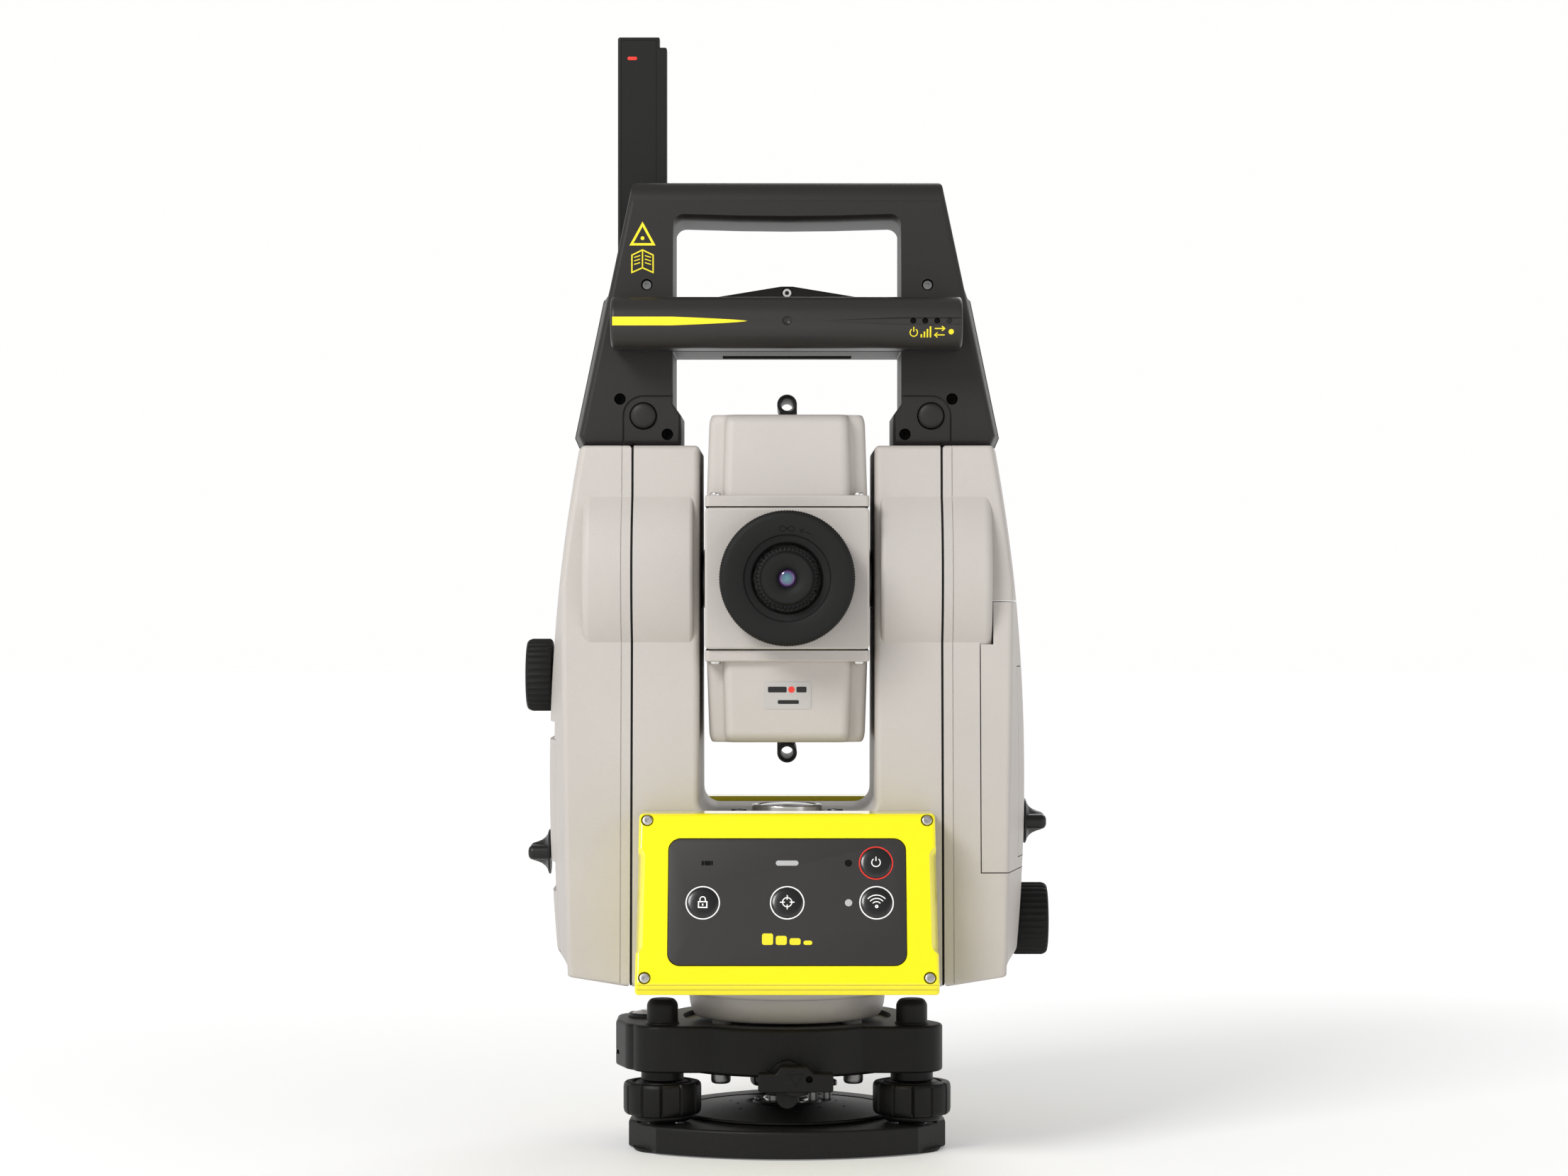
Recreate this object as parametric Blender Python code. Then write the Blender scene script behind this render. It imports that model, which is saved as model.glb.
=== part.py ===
"""A robotic surveying total station on its tribrach, in metres with +Z up.

The origin is the centre of the base plate's underside. Keyboard and eyepiece face -Y.
Dimensions are written in millimetres, and MM turns them into metres where meshes are made.
"""

import math

import bmesh
import bpy
from mathutils import Matrix, Vector

MM = 0.001
GAP = 0.3  # between pieces that rest on each other
CLEAR = 0.4  # around shafts that turn in their holes

# Driving heights
TILT_Z = 242.0  # the tilting axis
TOP_Z = 298.0  # top of the standards, where the handle stands
FLOOR_Z = 143.0  # floor of the gap that the telescope swings in
BODY_Z = 72.0  # underside of the turning upper part
DISH_Z = 64.5  # underside of its round lip
FLANGE_Z = 54.0  # underside of the fixed instrument base

# Standards
SEAM_X = 65.0  # where the side covers meet the frame
GAP_X = 36.8  # half the width of the telescope gap
FACE_TOP_Y = 42.5  # half the depth at the top
FACE_SLOPE = 0.0806  # growth of the half depth for each millimetre down
WIDEST_X = 102.2
WIDEST_Z = 158.0
BULGE_FOOT_Z = 80.0
BULGE_RISE = 5.5
EDGE_X = 91.6  # of the front face at the height EDGE_Z
EDGE_Z = 83.0
EDGE_LEAN = 0.0215  # its growth for each millimetre up
LEAST_BULGE = 2.6  # from the front edge of a side to its middle
DRUM_R = 56.0
DRUM_X = (39.2, 86.4)
DRUM_CHORD = 38.0

# Doors, drives and locks on the sides
BATTERY_DOOR_Z = (84.0, 174.0)
CARD_DOOR_Z = (124.0, 205.0)
PANEL_Z = (119.0, 232.6)
PANEL_X = 80.7
DOOR_HALF_Y = 33.4
TILT_KNOB_Z = 200.5
TILT_KNOB_X = 100.8  # floor of the shallow seat that the knob turns in
AZIMUTH_KNOB_Z = 95.4
AZIMUTH_KNOB_X = 97.0
KNOB_TIP_X = 112.2
BATTERY_LOCK_Z = 124.2
CARD_LOCK_Z = 137.5

# Keyboards
FACE_TILT = math.radians(20)
FACE_CENTRE = (-87.3, 109.8)  # Y and Z of the middle of the key panel's face
PANEL_SIZE = (97.0, 53.3)
KEYS = {
    "lock_key": (-34.5, -0.5),
    "measure_key": (0, -0.5),
    "radio_key": (36.5, -0.5),
    "power_key": (36.4, 16.3),
}
KEY_R = 6.5

# Telescope
BLOCK_X = 34.3
BLOCK_Z = 29.5
COVER_END = 68.7
SIGHT_Z = 74.0
TRUNNION_R = 12.0

# Handle
GRIP_Z = (393.4, 411.0)
BAR_Z = (338.4, 360.1)
LEG_X = 48.6
BUTTON = (61.0, 311.0)
ANTENNA_X = -63.7
ANTENNA_Z = 350.0
ANTENNA_Y = (31.0, 40.5)

# Tribrach, the same in three directions but for its level and lock lever
SCREW_R = 61.0  # from the vertical axis to each footscrew
SCREW_ANGLES = {"left": 210, "right": -30, "rear": 90}
PLATE_TOP = 12.0
PLATE_EDGE_R = 62.0  # from the axis to the middle of each convex edge
PLATE_EDGE_CURVE = 102.0
PLATE_CORNER = (71.7, 9.9)  # reach of a corner facet's ends, and their angle from its middle
TRIBRACH_Z = (32.4, 53.6)
TRIBRACH_R = 54.0
LOBE_R = 13.0
LEVEL = (-60.0, -3.0)
LEVER_Z = 33.5


def clear_scene():
    for obj in list(bpy.data.objects):
        bpy.data.objects.remove(obj, do_unlink=True)


# Outlines


def line_crossing(a, along, b, across):
    """Where the line through a and the line through b meet."""
    turn = along.cross(across)
    if abs(turn) < 1e-9:
        return (a + b) / 2
    return a + along * ((b - a).cross(across) / turn)


def inset_corner(before, corner, after, inset):
    """A corner of a counter-clockwise outline after its two sides move inwards."""
    first, second = (corner - before).normalized(), (after - corner).normalized()
    left = Vector((-first.y, first.x)) * inset
    right = Vector((-second.y, second.x)) * inset
    return line_crossing(corner + left, first, corner + right, second)


def round_corner(before, corner, after, radius, steps):
    """The arc that rounds one corner, from one side to the next."""
    to_before, to_after = (before - corner).normalized(), (after - corner).normalized()
    half = math.acos(max(-1, min(1, to_before.dot(to_after)))) / 2
    reach = radius / math.tan(half)
    centre = corner + (to_before + to_after).normalized() * (radius / math.sin(half))
    start, end = corner + to_before * reach - centre, corner + to_after * reach - centre
    sweep = math.atan2(start.cross(end), start.dot(end))
    return [centre + Matrix.Rotation(sweep * i / steps, 2) @ start for i in range(steps + 1)]


def outline(corners, inset=0.0, steps=3):
    """The points of a counter-clockwise outline whose corners are (u, v, radius)."""
    flat = [Vector((u, v)) for u, v, _ in corners]
    count = len(flat)
    moved = [inset_corner(flat[i - 1], flat[i], flat[(i + 1) % count], inset) for i in range(count)]
    points = []
    for i, (_, _, radius) in enumerate(corners):
        after = (i + 1) % count
        if radius == 0:
            points.append(moved[i])
            continue
        convex = (flat[i] - flat[i - 1]).cross(flat[after] - flat[i]) > 0
        radius = max(radius - inset, 0.3) if convex else radius + inset
        points += round_corner(moved[i - 1], moved[i], moved[after], radius, steps)
    return points


def rectangle(half_u, half_v, radius=0.0, centre=(0.0, 0.0)):
    u, v = centre
    signs = ((-1, -1), (1, -1), (1, 1), (-1, 1))
    return [(u + a * half_u, v + b * half_v, radius) for a, b in signs]


def circle_segment(radius, chord, steps=10):
    """The part of a disc beyond a chord at v = chord, as (u, v, 0) corners."""
    half = math.acos(chord / radius)
    angles = [math.pi / 2 - half + 2 * half * i / steps for i in range(steps + 1)]
    return [(radius * math.cos(a), radius * math.sin(a), 0.0) for a in angles]


def rim(low, high, edges, steps=2):
    """Positions along an extrusion and the inset at each, for two rounded rims."""
    stations = []
    for i in range(steps + 1 if edges[0] else 1):
        angle = math.pi / 2 * i / steps if edges[0] else math.pi / 2
        stations.append((low + edges[0] * (1 - math.sin(angle)) if edges[0] else low, 0.0))
        if edges[0]:
            stations[-1] = (low + edges[0] * (1 - math.cos(angle)), edges[0] * (1 - math.sin(angle)))
    for i in range(steps + 1 if edges[1] else 1):
        angle = math.pi / 2 * (1 - i / steps) if edges[1] else 0.0
        stations.append((high - edges[1] * (1 - math.cos(angle)), edges[1] * (1 - math.sin(angle))))
        if not edges[1]:
            stations[-1] = (high, 0.0)
    return stations


# Solids


def placed(axis, u, v, along):
    """A point from two coordinates across an axis, in the order X, Y, Z, and one along it."""
    return {"X": (along, u, v), "Y": (u, along, v), "Z": (u, v, along)}[axis]


def skin(rings, closed=False):
    """A solid through rings of equal length, capped at both ends or joined into a loop."""
    bm = bmesh.new()
    rows = [[bm.verts.new(Vector(point) * MM) for point in ring] for ring in rings]
    pairs = list(zip(rows, rows[1:])) + ([(rows[-1], rows[0])] if closed else [])
    for low, high in pairs:
        for i in range(len(low)):
            j = (i + 1) % len(low)
            bm.faces.new((low[i], low[j], high[j], high[i]))
    if not closed:
        bm.faces.new(rows[0])
        bm.faces.new(rows[-1])
    bmesh.ops.recalc_face_normals(bm, faces=bm.faces)
    return bm


def slab(corners, axis, low, high, edges=(0.0, 0.0), steps=3):
    """An outline extruded along an axis, with rounded rims."""
    return skin([
        [placed(axis, p.x, p.y, along) for p in outline(corners, inset, steps)]
        for along, inset in rim(low, high, edges)
    ])


def turned(profile, axis="Z", centre=(0.0, 0.0), segments=32, hollow=False, wave=(0, 0.0)):
    """A solid of revolution from (radius, position) points; wave gives a grip's count and depth."""
    count, depth = wave
    rings = []
    for radius, along in profile:
        ring = []
        for i in range(segments):
            angle = 2 * math.pi * i / segments
            reach = radius - (depth * (0.5 + 0.5 * math.cos(count * angle)) if count else 0.0)
            u, v = centre[0] + reach * math.cos(angle), centre[1] + reach * math.sin(angle)
            ring.append(placed(axis, u, v, along))
        rings.append(ring)
    return skin(rings, closed=hollow)


def block(low, high):
    return slab(
        [(low[0], low[1], 0), (high[0], low[1], 0), (high[0], high[1], 0), (low[0], high[1], 0)],
        "Z", low[2], high[2],
    )


def moved(bm, matrix):
    """The solid after a transform whose translation is in millimetres."""
    matrix = matrix.copy()
    matrix.translation *= MM
    bmesh.ops.transform(bm, matrix=matrix, verts=bm.verts)
    if matrix.determinant() < 0:
        bmesh.ops.reverse_faces(bm, faces=bm.faces)
    return bm


def mirrored(bm, axis):
    return moved(bm, Matrix.Scale(-1, 4, {"X": (1, 0, 0), "Y": (0, 1, 0), "Z": (0, 0, 1)}[axis]))


def sloped(bm, half_depth):
    """Scales Y by a half depth that depends on height, from a solid made one unit deep."""
    for vert in bm.verts:
        vert.co.y *= half_depth(vert.co.z / MM)
    return bm


# Objects


def material(name, colour, roughness, metallic=0.0):
    made = bpy.data.materials.new(name)
    made.use_nodes = True
    shader = made.node_tree.nodes["Principled BSDF"]
    shader.inputs["Base Color"].default_value = (*colour, 1)
    shader.inputs["Roughness"].default_value = roughness
    shader.inputs["Metallic"].default_value = metallic
    return made


FINISHES = {
    "shell": ((0.62, 0.59, 0.56), 0.5, 0.0),
    "black": ((0.035, 0.034, 0.033), 0.45, 0.0),
    "charcoal": ((0.05, 0.048, 0.046), 0.5, 0.0),
    "yellow": ((0.95, 0.86, 0.02), 0.25, 0.0),
    "steel": ((0.6, 0.6, 0.6), 0.3, 1.0),
    "alloy": ((0.7, 0.69, 0.67), 0.4, 1.0),
    "glass": ((0.75, 0.85, 0.9), 0.05, 0.0),
    "board": ((0.05, 0.25, 0.1), 0.5, 0.0),
}


def add(name, bm, finish, origin=(0, 0, 0)):
    """A named object with its own material and its origin at a point in millimetres."""
    mesh = bpy.data.meshes.new(name)
    offset = Vector(origin) * MM
    bmesh.ops.translate(bm, vec=-offset, verts=bm.verts)
    bm.to_mesh(mesh)
    bm.free()
    mesh.shade_smooth()
    mesh.set_sharp_from_angle(angle=math.radians(35))
    obj = bpy.data.objects.new(name, mesh)
    obj.location = offset
    bpy.context.scene.collection.objects.link(obj)
    mesh.materials.append(material(name + "_" + finish, *FINISHES[finish]))
    return obj


def helper(bm):
    """A shape that only cuts or joins, and isn't part of the object."""
    mesh = bpy.data.meshes.new("helper")
    bm.to_mesh(mesh)
    bm.free()
    obj = bpy.data.objects.new("helper", mesh)
    obj.hide_render = True
    obj.display_type = "WIRE"
    bpy.context.scene.collection.objects.link(obj)
    return obj


def combine(obj, operation, *shapes):
    for shape in shapes:
        step = obj.modifiers.new(operation.lower(), "BOOLEAN")
        step.operation = operation
        step.object = helper(shape)
        step.solver = "EXACT"


def cut(obj, *shapes):
    combine(obj, "DIFFERENCE", *shapes)


def join(obj, *shapes):
    combine(obj, "UNION", *shapes)


def keep(obj, *shapes):
    combine(obj, "INTERSECT", *shapes)


# Tribrach


def polar(reach, degrees):
    angle = math.radians(degrees)
    return reach * math.cos(angle), reach * math.sin(angle)


SCREWS = {side: polar(SCREW_R, angle) for side, angle in SCREW_ANGLES.items()}


def plate_outline(steps=6):
    """Three convex edges with a flat facet across each corner."""
    reach, spread = PLATE_CORNER
    half = reach * math.sin(math.radians(60 - spread))
    corners = []
    for corner in (-30, 90, 210):
        corners += [(*polar(reach, corner - spread), 1.5), (*polar(reach, corner + spread), 1.5)]
        for i in range(1, steps):
            along = half * (2 * i / steps - 1)
            sagging = PLATE_EDGE_CURVE - math.sqrt(PLATE_EDGE_CURVE**2 - along**2)
            out = PLATE_EDGE_R - sagging
            angle = corner + 60 + math.degrees(math.atan2(along, out))
            corners.append((*polar(math.hypot(out, along), angle), 0))
    return corners


def base_plate():
    plate = add("base_plate", slab(plate_outline(), "Z", 0, PLATE_TOP, (1.2, 1.2), 2), "charcoal")
    cut(plate, turned([(8.0, -5), (8.0, 30)], segments=20))
    for x, y in SCREWS.values():
        cut(plate, turned([(6.4, 5), (6.4, 30)], centre=(x, y), segments=16))


def spring_plate():
    profile = [(10.5, 12.3), (46.6, 12.3), (46.6, 13.6), (19.0, 16.4), (10.5, 17.4)]
    add("spring_plate", turned(profile, segments=32, hollow=True), "charcoal")


def tribrach_body():
    low, high = TRIBRACH_Z
    triangle = [(*polar(SCREW_R + 2 * LOBE_R, corner), LOBE_R) for corner in (-30, 90, 210)]
    body = add("tribrach_body", slab(triangle, "Z", low, high, (1.2, 1.6), 8), "black")
    drum = [(TRIBRACH_R - 1.2, low), (TRIBRACH_R, low + 1.2)]
    drum += [(TRIBRACH_R, high - 1.2), (TRIBRACH_R - 1.6, high)]
    join(body, turned(drum, segments=48))
    lobe = [(-66.5, -37, 12), (-30, -40, 0), (-30, 20, 0), (-58, 14, 10), (-73.2, 8, 10), (-73.2, -16, 10)]
    join(body, slab(lobe, "Z", low, high, (1.2, 1.6), 4))
    cut(body, turned([(22.0, low - 5), (22.0, high + 5)], segments=24))
    for x, y in SCREWS.values():
        join(body, turned([(9.0, 29.5), (9.0, low + 4)], centre=(x, y), segments=16))
        cap = [(6.9, high - 3), (6.9, 61.0), (6.2, 63.2), (4.6, 64.2)]
        join(body, turned(cap, centre=(x, y), segments=16))
        cut(body, turned([(5.4, 20), (5.4, 50)], centre=(x, y), segments=12))
    for spin in range(3):
        angle = math.radians(90 + 120 * spin)
        spot = (32 * math.cos(angle), 32 * math.sin(angle))
        cut(body, turned([(4.6, 42), (4.6, high + 5)], centre=spot, segments=10))
    cut(body, turned([(8.4, high - 4), (8.4, high + 5)], centre=LEVEL, segments=24))
    join(body, slab([(-13, 24, 3), (13, 24, 3), (13, 36, 0), (-13, 36, 0)], "Y", -52, -36))
    cut(body, turned([(4.0 + CLEAR, -60), (4.0 + CLEAR, -40)], "Y", (0, LEVER_Z), 12))


def tribrach_level():
    top = TRIBRACH_Z[1]
    profile = [(8.0, top - 3.6), (8.0, top + 1.6), (7.2, top + 2.4), (4.0, top + 2.9)]
    add("tribrach_level", turned(profile, centre=LEVEL, segments=24), "glass")


def footscrew(side, x, y):
    knob = [(11.0, 15.2), (15.2, 15.6), (16.5, 17.2), (16.5, 28.0), (15.4, 29.2), (11.0, 29.2)]
    screw = add(
        f"footscrew_{side}",
        turned(knob, centre=(x, y), segments=36, wave=(12, 1.0)),
        "black",
        (x, y, 22),
    )
    join(screw, turned([(5.0, 5.4), (5.0, 48.5)], centre=(x, y), segments=12))


def lock_lever():
    handle = [(-11.8, 28.6, 1.5), (18.9, 28.4, 1.5), (18.9, 35.3, 1.5), (11.5, 35.3, 1), (9.5, 39.5, 2)]
    handle += [(-3.6, 39.5, 2), (-5.6, 35.3, 1), (-11.8, 35.3, 1.5)]
    lever = add("lock_lever", slab(handle, "Y", -65.5, -58, (1.5, 0.8)), "black", (0, -58, LEVER_Z))
    join(lever, turned([(7.5, -59), (7.5, -54.5)], "Y", (0, LEVER_Z), 24))
    join(lever, turned([(4.0, -56), (4.0, -42)], "Y", (0, LEVER_Z), 12))


def instrument_base():
    bowl = [(39.0, FLANGE_Z), (40.8, 55.0), (42.0, 59.0), (42.2, DISH_Z - GAP), (20.0, DISH_Z - GAP)]
    hub = [(20.0, 94.0), (9.4, 94.0), (9.4, 58.0), (9.4, FLANGE_Z)]
    base = add("instrument_base", turned(bowl + hub, segments=32, hollow=True), "shell")
    for spin in range(3):
        angle = math.radians(90 + 120 * spin)
        spot = (32 * math.cos(angle), 32 * math.sin(angle))
        join(base, turned([(4.2, 45), (4.2, FLANGE_Z + 2)], centre=spot, segments=10))


# Standards


def half_depth(z):
    return FACE_TOP_Y + FACE_SLOPE * (TOP_Z - z)


def side_reach(z):
    """Half the width at the middle of a side."""
    return WIDEST_X - 0.00065 * (z - WIDEST_Z) ** 2


def front_edge(z):
    """Half the width of the front face."""
    return min(side_reach(z) - LEAST_BULGE, EDGE_X + EDGE_LEAN * (z - EDGE_Z))


def side_section(z, inset):
    """One level of a right-hand side cover, from the seam round to the seam."""
    foot = max(0.0, min(1.0, (z - BULGE_FOOT_Z) / BULGE_RISE))
    edge = front_edge(z)
    middle = edge + (side_reach(z) - edge) * math.sqrt(1 - (1 - foot) ** 2)
    depth = half_depth(z)
    corners = [
        (SEAM_X + GAP, -depth, 0), (edge, -depth, 2.5), (middle, -depth * 0.32, 70),
        (middle, depth * 0.32, 70), (edge, depth, 2.5), (SEAM_X + GAP, depth, 0),
    ]
    return [(p.x, p.y) for p in outline(corners, inset, 4)]


def side_shell(inset=0.0):
    """The outer form of a side cover, or the same form drawn in by a wall's thickness."""
    levels = [(BODY_Z, 2.2), (BODY_Z + 1.0, 0.7), (BODY_Z + 2.8, 0.0)]
    levels += [(BULGE_FOOT_Z + rise, 0.0) for rise in (0.0, 0.4, 1.4, 3.0, BULGE_RISE)]
    levels += [(z, 0.0) for z in (110, 135, 158, 185, 210, 235, 255, 275)]
    levels += [(TOP_Z - 2.0, 0.0), (TOP_Z - 0.6, 0.6), (TOP_Z, 2.0)]
    rings = []
    for z, edge in levels:
        lift = max(0.0, 1 - (z - BODY_Z) / 10)
        ring = [(x, y, z + lift * (x - SEAM_X) * 0.16) for x, y in side_section(z, inset + edge)]
        rings.append(ring)
    return skin(rings)


def drum_bulge(side, face, low_x, high_x, edges):
    """A stretch of the trunnion drum, where it stands out of the front or rear face."""
    bm = slab(circle_segment(DRUM_R, DRUM_CHORD), "X", low_x, high_x, edges)
    turn = Matrix.Rotation(math.pi / 2 * face, 4, "X")
    bm = moved(bm, Matrix.Translation((0, 0, TILT_Z)) @ turn)
    return bm if side > 0 else mirrored(bm, "X")


def drum_notch(face):
    """Room for the right-hand drum in what lies against it."""
    corners = circle_segment(DRUM_R + GAP, DRUM_CHORD - GAP)
    turn = Matrix.Rotation(math.pi / 2 * face, 4, "X")
    notch = slab(corners, "X", SEAM_X, DRUM_X[1] + GAP)
    return moved(notch, Matrix.Translation((0, 0, TILT_Z)) @ turn)


def alidade_frame():
    pillar = [(SEAM_X, TOP_Z, 1.2), (GAP_X, TOP_Z, 3), (GAP_X, FLOOR_Z, 7)]
    left = [(-x, z, r) for x, z, r in reversed(pillar)]
    corners = [(-SEAM_X, BODY_Z, 1.2), (SEAM_X, BODY_Z, 1.2)] + pillar + left
    rings = []
    for along, inset in ((-1, 2.4), (-0.985, 0.7), (-0.95, 0), (0.95, 0), (0.985, 0.7), (1, 2.4)):
        rings.append([(p.x, along, p.y) for p in outline(corners, inset)])
    frame = add("alidade_frame", sloped(skin(rings), half_depth), "shell")
    for side in (-1, 1):
        for face in (-1, 1):
            join(frame, drum_bulge(side, face, DRUM_X[0], SEAM_X, (2.0, 0)))
    join(frame, turned([(44.6, DISH_Z), (46.0, DISH_Z + 1.4), (46.0, BODY_Z + 2)], segments=32))
    cut(frame, turned([(38.0, DISH_Z - 5), (38.0, 112)], segments=32))
    for side in (-1, 1):
        for radius, start in ((13.2, 30), (20.2, 40), (35.5, 49)):
            bore = turned([(radius, start), (radius, SEAM_X + 5)], "X", (0, TILT_Z), 24)
            cut(frame, bore if side > 0 else mirrored(bore, "X"))
    cut(frame, turned([(15.4, FLOOR_Z - 3.5), (15.4, FLOOR_Z + 9)], centre=(0, -18), segments=32))


def axis_spindle():
    profile = [(9.0, 57.0), (9.0, 111.6)]
    add("axis_spindle", turned(profile, segments=24), "steel")


def horizontal_circle():
    profile = [(33.0, 97.0), (33.0, 99.5), (9.4, 99.5), (9.4, 97.0)]
    add("horizontal_circle", turned(profile, segments=32, hollow=True), "glass")


def azimuth_motor():
    profile = [(6.5, 67.0), (7.0, 67.5), (7.0, 95.0)]
    add("azimuth_motor", turned(profile, centre=(28.8, 0), segments=20), "steel")


def bearing(side):
    profile = [(19.8, 40.4), (19.8, 48.4), (TRUNNION_R + CLEAR, 48.4), (TRUNNION_R + CLEAR, 40.4)]
    bm = turned(profile, "X", (0, TILT_Z), 24, hollow=True)
    add(("left" if side < 0 else "right") + "_bearing", bm if side > 0 else mirrored(bm, "X"), "steel")


def tilt_motor():
    profile = [(-62.0, 30.0), (-52.0, 30.0), (-52.0, 12.6), (-62.0, 12.6)]
    add("tilt_motor", turned([(r, x) for x, r in profile], "X", (0, TILT_Z), 24, hollow=True), "steel")


def round_level():
    rise = FLOOR_Z - 3.1
    profile = [(15.0, rise), (15.0, FLOOR_Z + 1.8), (14.2, FLOOR_Z + 2.6)]
    profile += [(11.8, FLOOR_Z + 2.6), (7.0, FLOOR_Z + 3.4)]
    add("round_level", turned(profile, centre=(0, -18), segments=32), "glass")


def side_cut(z, low_x, radius, side, segments=24):
    """A round hole along X through one side."""
    bm = turned([(radius, low_x), (radius, 125)], "X", (0, z), segments)
    return bm if side > 0 else mirrored(bm, "X")


def left_cover():
    cover = add("left_cover", mirrored(side_shell(), "X"), "shell")
    for face in (-1, 1):
        join(cover, drum_bulge(-1, face, SEAM_X + GAP, DRUM_X[1], (0, 2.0)))
    cut(cover, block((-82, -33, 188), (-60, 33, 286)))
    low, high = BATTERY_DOOR_Z
    cut(cover, block((-120, -DOOR_HALF_Y, low), (-60, DOOR_HALF_Y, high)))
    cut(cover, block((-120, -50, high - 1), (-96.6, 50, high + 7.2)))
    cut(cover, side_cut(TILT_KNOB_Z, 80, 5.6, -1), side_cut(TILT_KNOB_Z, TILT_KNOB_X, 16.4, -1, 32))


def door(name, side, low, high, wall):
    """A door cut from the cover's own skin, hinged along its lower edge."""
    outer = side_shell()
    hinge = (side * (side_reach(low) - 0.2), 0, low + GAP)
    lid = add(name, outer if side > 0 else mirrored(outer, "X"), "shell", hinge)
    reach = side_reach(low) - wall
    half = DOOR_HALF_Y - GAP
    window = block((reach, -half, low + GAP), (130, half, high - GAP))
    keep(lid, window if side > 0 else mirrored(window, "X"))
    return lid


def battery_door():
    lid = door("battery_door", -1, *BATTERY_DOOR_Z, 9.0)
    cut(lid, block((-120, -30, 109.2), (-97.0, 30, 121.7)))
    cut(lid, block((-95.5, -26, 92), (-80, 26, 166)))
    cut(lid, side_cut(BATTERY_LOCK_Z, 80, 3.4, -1, 16))


def battery():
    corners = rectangle(30, 37, 4, (0, 129))
    add("battery", slab(corners, "X", -88.8, -68.8, (1, 1), 2), "charcoal")


def wing_knob(name, side, z, base_x):
    """A lock with a wing: a flared foot, a thin wing along Y and a spindle through the lid."""
    foot = [(3.0, base_x - 7), (3.0, base_x), (9.6, base_x)]
    foot += [(9.6, base_x + 0.8), (6.0, base_x + 3), (3.4, base_x + 7)]
    wing = rectangle(9.6, 3.5, 3.2, (0, z))
    bm = turned(foot, "X", (0, z), 24)
    blade = slab(wing, "X", base_x + 0.4, base_x + 9.4, (0, 1.4), 3)
    knob = add(name, bm if side > 0 else mirrored(bm, "X"), "black", (side * base_x, 0, z))
    join(knob, blade if side > 0 else mirrored(blade, "X"))


def drive_knob(name, side, z, base_x, tip_x=KNOB_TIP_X):
    profile = [(14.2, base_x), (15.6, base_x + 0.8), (15.6, tip_x - 1.4), (14.2, tip_x)]
    bm = turned(profile, "X", (0, z), 40, wave=(20, 0.9))
    knob = add(name, bm if side > 0 else mirrored(bm, "X"), "black", (side * tip_x, 0, z))
    stem = turned([(5.0, 94.0), (5.0, tip_x - 5)], "X", (0, z), 16)
    join(knob, stem if side > 0 else mirrored(stem, "X"))


def panel_box(shrink):
    low, high = PANEL_Z
    return block((PANEL_X + shrink, -80, low + shrink), (130, 80, high - shrink))


def right_cover():
    cover = add("right_cover", side_shell(), "shell")
    cut(cover, panel_box(0))
    for face in (-1, 1):
        join(cover, drum_bulge(1, face, SEAM_X + GAP, DRUM_X[1], (0, 2.0)))
    cut(cover, block((60, -33, 84), (91, 33, 112)), block((60, -33, 124), (90, 33, 228)))
    cut(cover, block((60, -33, 238), (82, 33, 286)), side_cut(AZIMUTH_KNOB_Z, 80, 5.6, 1))
    cut(cover, side_cut(AZIMUTH_KNOB_Z, AZIMUTH_KNOB_X, 16.4, 1, 32))


def communication_cover():
    cover = add("communication_cover", side_shell(), "shell")
    keep(cover, panel_box(GAP))
    for face in (-1, 1):
        cut(cover, drum_notch(face))
    low, high = CARD_DOOR_Z
    cut(cover, block((70, -DOOR_HALF_Y, low), (130, DOOR_HALF_Y, high)))


def card_door():
    lid = door("card_door", 1, *CARD_DOOR_Z, 5.0)
    cut(lid, side_cut(CARD_LOCK_Z, 80, 3.4, 1, 16))


def memory_card():
    add("memory_card", slab(rectangle(12, 16, 1, (0, 165)), "X", 68.2, 70.3, (0, 0), 2), "charcoal")


def circuit_board():
    add("circuit_board", block((66.2, -30, 128), (67.8, 30, 200)), "board")


# Keyboards


def face_matrix(side):
    """From a keyboard face's own axes (across, up the slope, outwards) to the whole object's."""
    y, z = FACE_CENTRE
    lean = Matrix.Rotation(math.pi / 2 - FACE_TILT, 4, "X")
    face = Matrix.Translation((0, y, z)) @ lean
    return face if side < 0 else Matrix.Rotation(math.pi, 4, "Z") @ face


def keyboard_case(side):
    """A wedge-shaped case with its sloping face and a pocket for the key panel."""
    name = ("front" if side < 0 else "rear") + "_keyboard_case"
    back_high, back_low = half_depth(145.0) + GAP, half_depth(72.7) + GAP
    wedge = [(-back_low, 72.7, 0), (-back_high, 145.0, 0)]
    wedge += [(-74.5, 145.0, 3.5), (-99.3, 76.9, 3), (-97.6, 73.2, 1)]
    bm = slab(wedge, "X", -62.0, 62.0, (1.8, 1.8))
    for vert in bm.verts:
        vert.co.x *= 1 - 0.00022 * (vert.co.z / MM - 72.7)
    matrix = Matrix.Rotation(math.pi, 4, "Z") if side > 0 else Matrix.Identity(4)
    case = add(name, moved(bm, matrix), "yellow")
    pocket = slab(rectangle(PANEL_SIZE[0] / 2 + GAP, PANEL_SIZE[1] / 2 + GAP, 5.2), "Z", -6, 12)
    cut(case, moved(pocket, face_matrix(side)))


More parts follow.
